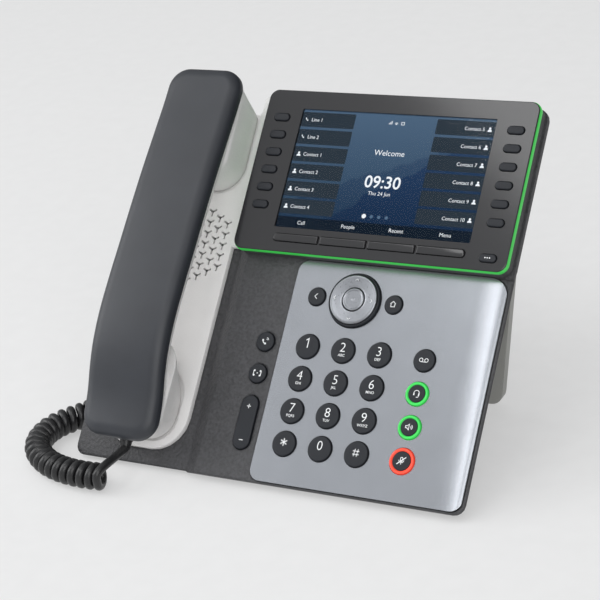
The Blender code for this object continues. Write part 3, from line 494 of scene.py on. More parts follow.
class Ink:
    """Flat marks drawn in a plane, about a centre, at a level."""

    def __init__(self, x, y, level):
        self.mesh = bmesh.new()
        self.x, self.y, self.level = x, y, level

    def polygon(self, points):
        places = [(self.x + px, self.y + py, self.level) for px, py in points]
        self.mesh.faces.new([self.mesh.verts.new(place_here) for place_here in places])

    def disc(self, x, y, radius):
        self.polygon(circle(radius, x, y, 20))

    def line(self, points, width, closed=False):
        """A stroke with mitred corners."""
        points = [Vector(p) for p in points]
        sides = []
        for i, point in enumerate(points):
            before = points[i - 1] if i or closed else None
            after = points[(i + 1) % len(points)] if i + 1 < len(points) or closed else None
            ends = [(a, b) for a, b in ((before, point), (point, after)) if None not in (a, b)]
            legs = [(b - a).normalized() for a, b in ends]
            normals = [Vector((-leg.y, leg.x)) for leg in legs]
            normal = sum(normals, Vector((0, 0))).normalized()
            reach = width / 2 / max(normal.dot(normals[0]), 0.4)
            sides.append((point - normal * reach, point + normal * reach))
        if closed:
            sides.append(sides[0])
        for (low, high), (next_low, next_high) in zip(sides, sides[1:]):
            self.polygon([low, next_low, next_high, high])

    def arc(self, x, y, radius, start, end, width, steps=16):
        turns = [math.radians(start + (end - start) * k / steps) for k in range(steps + 1)]
        points = [(x + radius * math.cos(a), y + radius * math.sin(a)) for a in turns]
        whole = abs(end - start) >= 360
        self.line(points[:-1] if whole else points, width, whole)

    def text(self, words, height, x=0.0, y=0.0, align="CENTER", weight=0.0):
        """Words whose capitals are this tall, with their middle at y."""
        data = bpy.data.curves.new("words", "FONT")
        data.body = words
        data.size = height / 0.70
        data.offset = weight
        data.align_x = align
        data.resolution_u = 3
        holder = bpy.data.objects.new("words", data)
        bpy.context.scene.collection.objects.link(holder)
        bpy.context.view_layer.update()
        flat = bpy.data.meshes.new_from_object(holder.evaluated_get(bpy.context.evaluated_depsgraph_get()))
        flat.transform(Matrix.Translation((self.x + x, self.y + y - height / 2, self.level)))
        self.mesh.from_mesh(flat)
        for made in (holder, data, flat):
            bpy.data.batch_remove([made])

    def finish(self, name, material):
        for face in self.mesh.faces:
            face.normal_update()
            if face.normal.z < 0:
                face.normal_flip()
        data = bpy.data.meshes.new(name)
        self.mesh.to_mesh(data)
        self.mesh.free()
        return place(name, data, material, SLAB)


LIFT = 0.00004
STROKE = 0.00032
LETTERS = dict(zip("23456789", ("ABC", "DEF", "GHI", "JKL", "MNO", "PQRS", "TUV", "WXYZ")))


def draw_receiver(ink, x, y, size):
    """A small telephone receiver, leaning to the left."""
    ink.arc(x + size * 0.5, y + size * 0.5, size * 0.85, 190, 260, size * 0.22, 8)
    ink.disc(x - size * 0.32, y + size * 0.42, size * 0.24)
    ink.disc(x + size * 0.40, y - size * 0.36, size * 0.24)


def draw_legend(name, ink):
    """The mark on a key."""
    mark = name.removeprefix("dial_key_")
    if mark == "1":
        ink.line([(-0.0010, 0.0030), (0.0003, 0.0039), (0.0003, -0.0009)], 0.00052)
    elif mark.isdigit():
        ink.text(mark, 0.0048, 0.0, 0.0016, weight=-0.00007)
        if mark in LETTERS:
            ink.text(LETTERS[mark], 0.00135, 0.0, -0.0025, weight=0.00002)
    elif mark == "star":
        for k in range(6):
            angle = math.radians(30 + 60 * k)
            ink.line([(0, 0.0006), (0.0020 * math.cos(angle), 0.0006 + 0.0020 * math.sin(angle))], 0.0005)
    elif mark == "pound":
        for side in (-0.0008, 0.0008):
            ink.line([(side - 0.0002, -0.0013), (side + 0.0002, 0.0025)], STROKE * 1.1)
            ink.line([(-0.0018, side + 0.0006), (0.0018, side + 0.0006)], STROKE * 1.1)
    elif mark == "voicemail_key":
        for side in (-1, 1):
            ink.arc(side * 0.0014, 0.0, 0.0009, 0, 360, STROKE)
        ink.line([(-0.0014, -0.0009), (0.0014, -0.0009)], STROKE)
    elif mark == "headset_key":
        ink.arc(0.0, 0.0002, 0.0014, -20, 200, STROKE)
        for side in (-1, 1):
            ink.line([(side * 0.0013, 0.0003), (side * 0.0013, -0.0010)], STROKE * 2)
        ink.line([(0.0014, -0.0010), (0.0010, -0.0018), (0.0001, -0.0018)], STROKE)
    elif mark == "speaker_key":
        ink.line([(-0.0018, 0.0005), (-0.0010, 0.0005), (0.0, 0.0014), (0.0, -0.0014),
                  (-0.0010, -0.0005), (-0.0018, -0.0005)], STROKE, True)
        for radius in (0.0007, 0.0014):
            ink.arc(0.0004, 0.0, radius, -50, 50, STROKE, 6)
    elif mark == "mute_key":
        ink.line(shifted(pill((0.0011, 0.0022), steps=5), 0, 0.0007), STROKE, True)
        ink.arc(0.0, 0.0004, 0.0013, 180, 360, STROKE)
        ink.line([(0, -0.0009), (0, -0.0018)], STROKE)
        ink.line([(-0.0022, -0.0018), (0.0022, 0.0020)], STROKE * 1.5)
    elif mark == "transfer_key":
        draw_receiver(ink, -0.0005, -0.0004, 0.0022)
        for radius in (0.0007, 0.0014):
            ink.arc(0.0005, 0.0006, radius, 10, 80, STROKE * 0.9, 6)
    elif mark == "conference_key":
        for side in (-1, 1):
            ink.line([(side * 0.0021, 0.0014), (side * 0.0021, -0.0014)], STROKE * 1.3)
            for end in (-1, 1):
                ink.disc(side * 0.0017, end * 0.0012, 0.0005)
        ink.disc(0.0, 0.0, 0.00035)
    elif mark == "volume_rocker":
        ink.line([(-0.0011, 0.0082), (0.0011, 0.0082)], STROKE * 1.2)
        ink.line([(0, 0.0071), (0, 0.0093)], STROKE * 1.2)
        ink.line([(-0.0011, -0.0093), (0.0011, -0.0093)], STROKE * 1.2)
    elif mark == "back_key":
        ink.line([(0.0006, 0.0014), (-0.0008, 0.0), (0.0006, -0.0014)], STROKE)
    elif mark == "home_key":
        ink.line([(-0.0015, 0.0001), (0.0, 0.0015), (0.0015, 0.0001)], STROKE)
        ink.line([(-0.0010, 0.0001), (-0.0010, -0.0013), (0.0010, -0.0013), (0.0010, 0.0001)], STROKE)
    elif mark == "more_key":
        for k in (-1, 0, 1):
            ink.disc(k * 0.0012, 0.0, 0.00035)
    elif mark == "nav_ring":
        for k in range(4):
            turn = math.pi / 2 * k
            points = [(0.0098, -0.0009), (0.0106, 0.0), (0.0098, 0.0009)]
            ink.line([(x * math.cos(turn) - y * math.sin(turn), x * math.sin(turn) + y * math.cos(turn))
                      for x, y in points], 0.00022)


# --- Keys ---


def dial_keys():
    names = ("1", "2", "3", "4", "5", "6", "7", "8", "9", "star", "0", "pound")
    places = [((i % 3 - 1) * DIAL_PITCH_X, (1.5 - i // 3) * DIAL_PITCH_Y) for i in range(len(names))]
    return [(f"dial_key_{name}", x, y, DIAL_RADIUS, 0.0) for name, (x, y) in zip(names, places)]


def plain_round_keys():
    """The unlit keys apart from the dial: name, x, y, radius and the surface they stand out of."""
    return [
        ("voicemail_key", FUNCTION_X, 1.5 * DIAL_PITCH_Y, VOICEMAIL_RADIUS, 0.0),
        ("back_key", -NAV_SIDE, NAV_Y, NAV_SIDE_RADIUS, 0.0),
        ("home_key", NAV_SIDE, NAV_Y, NAV_SIDE_RADIUS, 0.0),
        ("transfer_key", -FUNCTION_X, 1.5 * DIAL_PITCH_Y, LEFT_KEY_RADIUS, SLAB_SURFACE),
        ("conference_key", -FUNCTION_X, 0.5 * DIAL_PITCH_Y, LEFT_KEY_RADIUS, SLAB_SURFACE),
    ]


def lit_keys():
    return [
        ("headset_key", 0.5 * DIAL_PITCH_Y, LIT_KEY_RADIUS, "lit_green"),
        ("speaker_key", -0.5 * DIAL_PITCH_Y, LIT_KEY_RADIUS, "lit_green"),
        ("mute_key", -1.5 * DIAL_PITCH_Y, MUTE_KEY_RADIUS, "lit_red"),
    ]


def head_keys():
    """The keys in the bezel: name, x, y, size and end radii."""
    keys = []
    for side, x in (("left", SCREEN_X - LINE_KEY_X), ("right", SCREEN_X + LINE_KEY_X)):
        for i in range(6):
            y = LINE_KEY_TOP_Y - i * LINE_KEY_PITCH
            keys.append((f"line_key_{side}_{i + 1}", x, y, LINE_KEY_SIZE, (None, None)))
    for i in range(4):
        x = SCREEN_X + (i - 1.5) * SOFT_KEY_PITCH
        ends = [SOFT_KEY_END if i == outer else SOFT_KEY_CORNER for outer in (0, 3)]
        keys.append((f"soft_key_{i + 1}", x, SOFT_KEY_Y, SOFT_KEY_SIZE, ends))
    keys.append(("more_key", SCREEN_X + LINE_KEY_X, MORE_KEY_Y, LINE_KEY_SIZE, (None, None)))
    return keys


def add_legend(name, x, y, level, looks):
    ink = Ink(x, y, level + LIFT)
    draw_legend(name, ink)
    fit(ink.finish(f"{name}_legend", looks["legend"]), name, "key")


def moved(x, y):
    return SLAB @ Matrix.Translation((x, y, 0.0))


def key_foot(radius):
    """The (radius, z) pairs of the flange that holds a round key behind the face."""
    wide, top = radius + KEY_FLANGE, KEY_FOOT + KEY_FLANGE
    return [(wide, KEY_FOOT), (wide, top), (radius, top + 0.0001)]


def cap_levels(foot, top):
    """The (inset, z) pairs of a key with upright sides and a rounded upper edge."""
    return [(0.0, foot), *((-out, z) for out, z in bead(0.0, top, CAP_EDGE))]


def make_round_keys(looks):
    for name, x, y, radius, surface in dial_keys() + plain_round_keys():
        top = KEY_TOP + surface
        profile = [*key_foot(radius), *bead(radius, top, KEY_EDGE), (radius * 0.5, top)]
        add_piece(name + "_cap", turned(profile), looks, "key", moved(x, y), 40, name)
        add_legend(name, x, y, top, looks)


def make_lit_keys(looks):
    """Each is a dark cap in a glowing ring."""
    for name, y, radius, colour in lit_keys():
        at, inner = moved(FUNCTION_X, y), radius * 0.75
        hole = inner + 0.0001
        section = [*key_foot(radius), *bead(radius, KEY_TOP, 0.0007), (hole + KEY_EDGE, KEY_TOP),
                   (hole, KEY_TOP - KEY_EDGE), (hole, KEY_FOOT)]
        add_piece(name + "_ring", ring_rows(section), looks, colour, at, 40, name, True)
        top = KEY_TOP - 0.0002
        cap = body(name + "_cap", [turned([(inner, KEY_FOOT), *bead(inner, top, 0.0003)])], looks["key"], at)
        fit(settle(cap, 40), name, "key")
        add_legend(name, FUNCTION_X, y, top, looks)


def make_head_keys(looks):
    for name, x, y, size, ends in head_keys():
        levels = cap_levels(HEAD_KEY_FOOT, HEAD_KEY_TOP)
        rings = [at_level(pill(size, inset, *ends), z) for inset, z in levels]
        look = "bezel" if name.startswith("soft") else "key"
        add_piece(name + "_cap", rings, looks, look, moved(x, y), 40, name)
    add_legend("more_key", SCREEN_X + LINE_KEY_X, MORE_KEY_Y, HEAD_KEY_TOP, looks)


def make_rocker(looks):
    """One long key for both volume directions."""
    levels = cap_levels(ROCKER_FOOT, ROCKER_TOP)
    rings = [at_level(pill(ROCKER_SIZE, inset, steps=16), z) for inset, z in levels]
    at = moved(-FUNCTION_X, ROCKER_Y)
    add_piece("volume_rocker_cap", rings, looks, "key", at, 40, "volume_rocker")
    add_legend("volume_rocker", -FUNCTION_X, ROCKER_Y, ROCKER_TOP, looks)


def make_navigation(looks):
    """A dark skirt, a dished ring in it and a select key with fine round ridges in the middle."""
    at, top, ring_foot = moved(0.0, NAV_Y), NAV_RING_TOP, -0.0004
    outer, well, middle = NAV_SKIRT_RADIUS, NAV_RING_RADIUS + GAP, 0.0080
    section = [(outer, NAV_SKIRT_FOOT), *bead(outer, NAV_SKIRT_TOP, CAP_EDGE), (well, NAV_SKIRT_TOP),
               (well, NAV_SKIRT_FLOOR), (middle, NAV_SKIRT_FLOOR), (middle, NAV_SKIRT_FOOT)]
    add_piece("nav_skirt_rim", ring_rows(section), looks, "key", at, 40, "nav_skirt", True)
    outer, inner = NAV_RING_RADIUS, NAV_HUB_RADIUS + CLEARANCE
    dish = [(outer - 0.0016, top), ((outer + inner) / 2, top - 0.00045), (inner + 0.0010, top - 0.0002)]
    section = [(outer, ring_foot), *bead(outer, top, 0.0008), *dish, (inner, top - KEY_EDGE),
               (inner, ring_foot)]
    add_piece("nav_ring_plate", ring_rows(section), looks, "silver", at, 50, "nav_ring", True)
    outer, pitch, low, high = NAV_HUB_RADIUS, 0.0006, top - 0.00046, top - 0.00018
    ridges = [(outer - 0.0011 - k * pitch, low if k % 2 else high) for k in range(8)]
    hub = [(outer, -0.0040), *bead(outer, top, CAP_EDGE), *ridges]
    add_piece("select_key_cap", turned(hub), looks, "silver", at, 60, "select_key")
    add_legend("nav_ring", 0.0, NAV_Y, top + LIFT, looks)


# --- The slab's face ---


def plate_outline():
    return fillet([
        (PLATE_LEFT, PLATE_BOTTOM, PLATE_CORNER), (PLATE_RIGHT, PLATE_BOTTOM, PLATE_CORNER),
        (PLATE_RIGHT, PLATE_TOP, PLATE_TOP_RIGHT_CORNER), (PLATE_LEFT, PLATE_TOP, PLATE_CORNER),
    ])


def roll_profile(drop, start, end, level, steps=28):
    """A quarter ellipse from the flat plate down to the rolled edge."""
    angles = [math.pi / 2 * k / steps for k in range(steps + 1)]
    return [(start + (end - start) * math.sin(a), level - drop * (1 - math.cos(a))) for a in angles]


def make_faceplate(looks):
    thick = PLATE_THICKNESS
    top = roll_profile(ROLL_DROP, ROLL_START, PLATE_RIGHT, 0.0)
    under = roll_profile(ROLL_DROP - thick, ROLL_START, PLATE_RIGHT - thick, -thick)
    section = [(PLATE_LEFT - 0.01, 0.0), *top, *reversed(under), (PLATE_LEFT - 0.01, -thick)]
    plate = body("keypad_plate", [across(section, -0.06, 0.09)], looks["faceplate"])
    combine(plate, "plate_trim", [prism(plate_outline(), -0.02, 0.01)], "INTERSECT")
    keys = dial_keys() + plain_round_keys()
    holes = [(x, y, radius) for _, x, y, radius, surface in keys if surface == 0.0]
    holes += [(FUNCTION_X, y, radius) for _, y, radius, _ in lit_keys()]
    holes.append((0.0, NAV_Y, NAV_SKIRT_RADIUS))
    cutters = [prism(circle(radius + CLEARANCE, x, y), -0.01, 0.01) for x, y, radius in holes]
    combine(plate, "plate_holes", cutters)
    fit(settle(plate, 20), "base", "faceplate", "keypad_faceplate")


# --- The display head ---


def head_outline(inset):
    return rectangle(HEAD_LEFT + inset, HEAD_BOTTOM + inset, HEAD_RIGHT - inset, HEAD_TOP - inset,
                     max(HEAD_CORNER - inset, 0.001))


def screen_outline(inset):
    x, y = (size / 2 - inset for size in SCREEN_OPENING)
    return rectangle(SCREEN_X - x, SCREEN_Y - y, SCREEN_X + x, SCREEN_Y + y, 0.0005, 4)


def make_bezel(looks):
    top = BEZEL_FRONT
    edge = [(0.0, top - BEZEL_FLANGE), (0.0, top - 0.0004), (0.0001, top - 0.00015), (0.0004, top)]
    bezel = body("bezel_frame", [[at_level(head_outline(inset), z) for inset, z in edge]], looks["bezel"])
    combine(bezel, "bezel_body", [prism(head_outline(HEAD_WALL + GAP), BEZEL_BACK, top - 0.0003)], "UNION")
    holes = [prism(screen_outline(0.0), 0.0, 0.02)]
    for _, x, y, size, ends in head_keys():
        holes.append(prism(shifted(pill(size, -GAP, *ends), x, y), 0.0, 0.02))
    combine(bezel, "bezel_holes", holes)
    fit(settle(bezel, 12), "base", "bezel", "display_bezel")
    low, high, proud = LIGHT_BAR_LOW, LIGHT_BAR_HIGH, LIGHT_BAR_PROUD
    levels = [(0.0, low), (-proud * 0.8, low + 0.0004), (-proud, low + 0.0010), (-proud, high - 0.0008),
              (-proud * 0.8, high - 0.0002), (0.0, high)]
    bar = body("light_strip", [[at_level(head_outline(inset), z) for inset, z in levels]], looks["green"])
    combine(bar, "light_strip_hole", [prism(head_outline(HEAD_WALL - 0.0001), 0.0, 0.02)])
    fit(settle(bar, 40), "base", "green", "light_bar")


def make_screen(looks):
    """The picture under the window: ridges, label boxes, a clock and a row of soft labels."""
    picture = Ink(0.0, 0.0, SCREEN_LEVEL + 0.00003)
    picture.polygon(screen_outline(0.0003))
    boxes, footer = (Ink(SCREEN_X, SCREEN_Y, SCREEN_LEVEL + 0.00006) for _ in range(2))
    white, faint = (Ink(SCREEN_X, SCREEN_Y, SCREEN_LEVEL + 0.00009) for _ in range(2))
    side, bottom, footer_top = SCREEN_HALF_WIDTH, -SCREEN_HALF_HEIGHT, -0.0262
    footer.polygon([(-side, bottom), (side, bottom), (side, footer_top), (-side, footer_top)])
    draw_labels(boxes, white)
    white.text("Welcome", 0.0030, 0.0, 0.0115)
    white.text("09:30", 0.0064, 0.0, -0.0042, weight=0.00012)
    white.text("Thu 24 Jun", LABEL_HEIGHT, -0.0005, -0.0104)
    for k in range(4):
        ink, radius = (faint, 0.0009) if k else (white, 0.0012)
        ink.disc(-0.0060 + 0.0042 * k, -0.0228, radius)
    for k, word in enumerate(("Call", "People", "Recent", "Menu")):
        white.text(word, LABEL_HEIGHT, (k - 1.5) * 0.0268, -0.0291)
    draw_status(white, 0.0270)
    for ink, name, look in ((picture, "screen_picture", "picture"), (boxes, "screen_boxes", "boxes"),
                            (footer, "screen_footer", "footer"), (white, "screen_text", "bright"),
                            (faint, "screen_dots", "faint")):
        fit(ink.finish(name, looks[look]), "base", "screen")


def draw_labels(boxes, white):
    """Six boxes down each side of the screen, each with a small picture and a name."""
    height, name_x, person_x = 0.0019, 0.0487, 0.0513
    for i in range(6):
        middle = 0.0272 - i * 0.00955
        low, high = middle - 0.0041, middle + 0.0041
        boxes.polygon(rectangle(-SCREEN_HALF_WIDTH, low, -0.0236, high, 0.0006, 3))
        boxes.polygon(rectangle(0.0222, low, SCREEN_HALF_WIDTH, high, 0.0006, 3))
        if i < 2:
            draw_receiver(white, -0.0515, middle, 0.0014)
            white.text(f"Line {i + 1}", height, -name_x, middle, "LEFT")
        else:
            draw_person(white, -person_x, middle)
            white.text(f"Contact {i - 1}", height, -name_x, middle, "LEFT")
        draw_person(white, person_x, middle)
        white.text(f"Contact {i + 5}", height, name_x, middle, "RIGHT")


def draw_status(ink, y):
    """Three bars, a small antenna and a box, in a row at the top of the screen."""
    for k in range(3):
        x = -0.0040 + k * 0.0007
        ink.line([(x, y), (x, y + 0.0007 + k * 0.0006)], 0.0004)
    ink.arc(0.0, y, 0.0010, 30, 150, 0.0003, 6)
    ink.disc(0.0, y + 0.0002, 0.0004)
    left, right, top = 0.0028, 0.0044, y + 0.0014
    ink.line([(left, y), (right, y), (right, top), (left, top)], 0.0003, True)


def draw_person(ink, x, y):
    """A small head and shoulders."""
    ink.disc(x, y + 0.0006, 0.00062)
    half = [(0.0012, -0.0012), (0.0010, -0.0004), (0.0004, 0.0)]
    ink.polygon([(x + px, y + py) for px, py in half] + [(x - px, y + py) for px, py in reversed(half)])


# --- The cradle ---


def block_outline(half, low, high, low_corner, high_corner):
    left, right = HANDSET_X - half, HANDSET_X + half
    return fillet([(left, low, low_corner), (right, low, low_corner),
                   (right, high, high_corner), (left, high, high_corner)])


def tray_outline(inset=0.0):
    """The tray with its tongue, whose lip covers the housing's edge beside it."""
    tongue = TRAY_TONGUE_LEFT - TONGUE_LIP + inset
    left, right = HANDSET_X - TRAY_HALF + inset, HANDSET_X + TRAY_HALF - inset
    side, tip = TRAY_TONGUE_RIGHT - inset, HEAD_TOP - inset
    return fillet([
        (left, TRAY_BOTTOM + inset, TRAY_CORNER - inset), (right, TRAY_BOTTOM + inset, TRAY_CORNER - inset),
        (right, TRAY_STEP + inset, 0), (side, TRAY_STEP + inset, 0), (side, tip, 0.002),
        (tongue, tip, 0.002), (tongue, TRAY_TOP - inset, 0.002),
        (left, TRAY_TOP - inset, 0.010),
    ])


def grille_slots():
    """Y-shaped slots in a hexagon over the ringer, each with one arm down and two up."""
    outline = []
    for k in range(3):
        angle = math.radians(-90 + 120 * k)
        forward = Vector((math.cos(angle), math.sin(angle)))
        aside = Vector((-forward.y, forward.x))
        for side in (-1, 1):
            outline.append(forward * GRILLE_ARM + aside * GRILLE_HALF_WIDTH * side)
        root = Vector((math.cos(angle + math.radians(60)), math.sin(angle + math.radians(60))))
        outline.append(root * GRILLE_HALF_WIDTH * 1.16)
    places = []
    for column in range(-3, 4):
        count = 8 - abs(column)
        x = GRILLE_X + GRILLE_COLUMN * column
        places += [(x, GRILLE_Y + GRILLE_ROW * (k - (count - 1) / 2)) for k in range(count)]
    return [prism(shifted(outline, x, y), -0.01, 0.005) for x, y in places]


def make_tray(looks):
    top = TRAY_SURFACE
    levels = [(0.0, TRAY_BACK), (0.0, top - 0.0003), (0.0001, top - 0.0001), (0.0003, top)]
    tray = body("cradle_floor", [[at_level(tray_outline(inset), z) for inset, z in levels]], looks["pale"])
    pockets = []
    for block in (EAR_BLOCK, MOUTH_BLOCK):
        half = block["half"][0] + POCKET_MARGIN
        low, high = block["foot"][0] - POCKET_MARGIN, block["foot"][1] + 3 * POCKET_MARGIN
        pockets.append(prism(block_outline(half, low, high, *block["corners"][:2]), POCKET_FLOOR, 0.005))
    combine(tray, "tray_pockets", pockets)
    combine(tray, "hook_hole", [prism(circle(HOOK_HOLE, HANDSET_X, HOOK_Y, 32), -0.01, 0.01)])
    combine(tray, "grille", grille_slots())
    fit(settle(tray, 30), "base", "pale", "cradle_tray")


# --- The handset ---


def parting_height(y):
    """The height of the parting line, on a smooth curve through its points."""
    points = [Vector(p) for p in PARTING]
    i = max(k for k in range(len(points) - 1) if k == 0 or points[k][0] <= y)
    a = points[i - 1] if i else points[0] * 2 - points[1]
    b, c = points[i], points[i + 1]
    d = points[i + 2] if i + 2 < len(points) else c * 2 - b
    t = min(max((y - b.x) / (c.x - b.x), 0.0), 1.0)
    rise_b = (c.y - a.y) / (c.x - a.x) * (c.x - b.x)
    rise_c = (d.y - b.y) / (d.x - b.x) * (c.x - b.x)
    return ((2 * t ** 3 - 3 * t ** 2 + 1) * b.y + (t ** 3 - 2 * t ** 2 + t) * rise_b
            + (3 * t ** 2 - 2 * t ** 3) * c.y + (t ** 3 - t ** 2) * rise_c)


def stations(low, high, radius, half, ends=18, middle=46):
    """Places up the handset, close together at its round ends, with the half width there."""
    arc = [(radius * (1 - math.cos(a)), half - radius * (1 - math.sin(a)))
           for a in (math.pi / 2 * k / ends for k in range(ends + 1))]
    found = [(low + depth, width) for depth, width in arc]
    found += [(low + radius + (high - low - 2 * radius) * k / middle, half) for k in range(1, middle)]
    return found + [(high - depth, width) for depth, width in reversed(arc)]


def rim_distance(x, y, low, high, radius, half):
    """How far a point is inside the handset's rounded outline."""
    over_x = abs(x) - (half - radius)
    over_y = max(low + radius - y, y - (high - radius))
    if over_x > 0 and over_y > 0:
        return max(radius - math.hypot(over_x, over_y), 0.0)
    return max(radius - max(over_x, over_y), 0.0)


def lift(distance, edge, rise):
    """A quarter ellipse up from the rim, level once past the edge radius."""
    near = min(distance / edge, 1.0)
    return rise * math.sqrt(max(1 - (1 - near) ** 2, 0.0))


def half_ring(y, width, level, steps, height_at):
    """A ring across the handset: a corner at each side of the parting line and a curve between them."""
    xs = [width * math.sin(math.pi * (k / steps - 0.5)) for k in range(steps + 1)]
    curve = [(HANDSET_X + x, y, height_at(x, y)) for x in xs]
    return [(HANDSET_X - width, y, level), *curve, (HANDSET_X + width, y, level)]


def make_top_shell(looks):
    low, high, half, radius = HANDSET_LOW_END, HANDSET_HIGH_END, HANDSET_HALF, HANDSET_END_RADIUS
    crown = 0.0011

    def top_height(x, y):
        inside = rim_distance(x, y, low, high, radius, half)
        rise = lift(inside, 0.0060, HANDSET_CROWN - crown)
        arch = crown * (1 - (x / half) ** 2) * lift(inside, 0.0120, 1.0)
        return parting_height(y) + HANDSET_SIDE + rise + arch

    rings = []
    for y, width in stations(low, high, radius, half):
        rings.append(half_ring(y, width, parting_height(y), 44, top_height))
    shell = body("handset_back", [rings], looks["handset"])
    fit(settle(shell, 60), "handset", "handset", "handset_top_shell")


def block_rings(block, levels):
    low_corner, foot_corner, top_corner = block["corners"]
    rings = []
    for share, z in levels:
        half = block["half"][0] + (block["half"][1] - block["half"][0]) * share
        low = block["foot"][0] + (block["top"][0] - block["foot"][0]) * share
        high = block["foot"][1] + (block["top"][1] - block["foot"][1]) * share
        corner = foot_corner + (top_corner - foot_corner) * share
        rings.append(at_level(block_outline(half, low, high, low_corner, corner), z))
    return rings


def make_bottom_shell(looks):
    """The grip and both end blocks, run together with soft inside corners."""
    inset = 0.0012
    low, high = HANDSET_LOW_END + inset, HANDSET_HIGH_END - inset
    half, radius = HANDSET_HALF - inset, HANDSET_END_RADIUS - inset

    def under_height(x, y):
        level = parting_height(y) - GAP
        return level - 0.0006 - lift(rim_distance(x, y, low, high, radius, half), 0.0120, GRIP_DEPTH - 0.0006)

    rings = []
    for y, width in stations(low, high, radius, half):
        rings.append(half_ring(y, width, parting_height(y) - GAP, 32, under_height))
    tubes = [rings]
    for block in (EAR_BLOCK, MOUTH_BLOCK):
        foot, top = HANDSET_FOOT, block["height"]
        levels = ((-0.04, foot), (0.0, foot + 0.0006), (0.12, foot + 0.0024), (0.55, top * 0.5), (1.0, top))
        tubes.append(block_rings(block, levels))
    shell = body("handset_front", tubes, looks["pale"])
    union = shell.modifiers.new("run_together", "REMESH")
    union.mode = "VOXEL"
    union.voxel_size = 0.00075
    soften = shell.modifiers.new("soften", "SMOOTH")
    soften.factor = 0.5
    soften.iterations = 8
    fit(settle(shell, 60), "handset", "pale", "handset_bottom_shell")


# --- The cord ---


def curve_through(points, per_span=12):
    """Points on a Catmull-Rom curve through the given ones."""
    ends = [points[0] * 2 - points[1], *points, points[-1] * 2 - points[-2]]
    found = []
    for a, b, c, d in zip(ends, ends[1:], ends[2:], ends[3:]):
        for k in range(per_span):
            t = k / per_span
            found.append(0.5 * (2 * b + (c - a) * t + (2 * a - 5 * b + 4 * c - d) * t * t
                                + (3 * b - 3 * c + d - a) * t ** 3))
    return [*found, points[-1]]


def evenly(points, spacing):
    """The same path with a point about every spacing."""
    lengths = [0.0]
    for a, b in zip(points, points[1:]):
        lengths.append(lengths[-1] + (b - a).length)
    count = max(2, round(lengths[-1] / spacing))
    found = []
    i = 0
    for k in range(count + 1):
        want = lengths[-1] * k / count
        while i < len(points) - 2 and lengths[i + 1] < want:
            i += 1
        share = (want - lengths[i]) / (lengths[i + 1] - lengths[i])
        found.append(points[i].lerp(points[i + 1], min(share, 1.0)))
    return found


def coil(axis_points, steps=18):
    """The wire's path round the curl's axis: it starts at the front of the first turn, on its way down."""
    full = (CURL_DIAMETER - CORD_DIAMETER) / 2
    axis = evenly(curve_through(axis_points), CURL_PITCH / steps)
    found = []
    for i, here in enumerate(axis):
        ahead = (axis[min(i + 1, len(axis) - 1)] - axis[max(i - 1, 0)]).normalized()
        aside = ahead.cross(Vector((0, 0, 1))).normalized()
        upward = aside.cross(ahead)
        near = (len(axis) - 1 - i) / (0.8 * steps)
        share = min(near, 1.0)
        radius = full * share * share * (3 - 2 * share)
        angle = 2 * math.pi * i / steps
        found.append(here + (upward * -math.sin(angle) - aside * math.cos(angle)) * radius)
    return found


def cord_path():
    """The cord's centreline in the desk frame: out of the handset, over the desk and up to the jack."""
    exit_y, exit_z = on_slope(MOUTH_BLOCK["foot"][0] - 0.0038, 0.0080)
    curl = [Vector((x, y, CURL_LEVEL)) for x, y in CURL_ROUTE]
    middle = coil(curl)
    top = middle[0]
    start = Vector((CORD_EXIT_X, exit_y, exit_z))
    lead = [start, start + Vector((0.0004, -0.0040, -0.0034)), top + Vector((0.0014, 0.0018, 0.0055))]
    jack_y, jack_z = on_slope(JACK_Y, BACK - JACK_SIZE[2] / 2)
    socket = Vector((JACK_X - JACK_SIZE[0] / 2 - GAP, jack_y, jack_z))
    leave = (curl[-1] - curl[-2]).normalized()
    tail = [curl[-1] + leave * 0.0050, Vector(JACK_APPROACH), socket - Vector((0.0050, 0, 0)), socket]
    way_in = evenly(curve_through([*lead, top, middle[4]])[:-12], LEAD_SPACING)
    way_out = evenly(curve_through([middle[-1], *tail]), LEAD_SPACING)
    return [DESK @ point for point in [*way_in[:-1], *middle, *way_out[1:]]]


def tube_along(path, radius, sides=14):
    """Rings of a round tube along a path, turned from ring to ring without a twist."""
    normal = (path[1] - path[0]).orthogonal().normalized()
    rings = []
    for i, here in enumerate(path):
        ahead = (path[min(i + 1, len(path) - 1)] - path[max(i - 1, 0)]).normalized()
        normal = (normal - ahead * normal.dot(ahead)).normalized()
        other = ahead.cross(normal)
        angles = [2 * math.pi * k / sides for k in range(sides)]
        rings.append([here + (normal * math.cos(a) + other * math.sin(a)) * radius for a in angles])
    return rings


def sleeve(name, path, widths, look):
    """A moulded sleeve round a straight path: each width is a stretch of the path and its radius."""
    rings = []
    for low, high, radius in widths:
        rings += tube_along([path[0].lerp(path[1], share) for share in (low, high)], radius, 20)
    return body(name, [rings], look, Matrix.Identity(4))


def make_cord(looks):
    path = cord_path()
    cord = body("handset_cord", [tube_along(path, CORD_DIAMETER / 2)], looks["cord"], Matrix.Identity(4))
    settle(cord, 60)
    handset_end = sleeve("cord_boot_handset", [path[0] + (path[0] - path[1]) * 0.6, path[2]],
                         ((0.0, 0.12, 0.0036), (0.3, 0.45, 0.0033), (0.9, 1.0, 0.0025)), looks["cord"])
    base_end = sleeve("cord_plug_base", [path[-1] + (path[-1] - path[-2]) * 0.1, path[-4]],
                      ((0.0, 0.1, 0.0038), (0.4, 0.5, 0.0036), (0.9, 1.0, 0.0024)), looks["socket"])
    fit(settle(handset_end, 40), "handset", "cord")
    fit(settle(base_end, 40), "base", "cord")
    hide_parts("cord_curl", "cord_lead_handset", "cord_lead_base")
    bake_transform(cord)


# --- The rest of the shells keep the part's own shapes ---


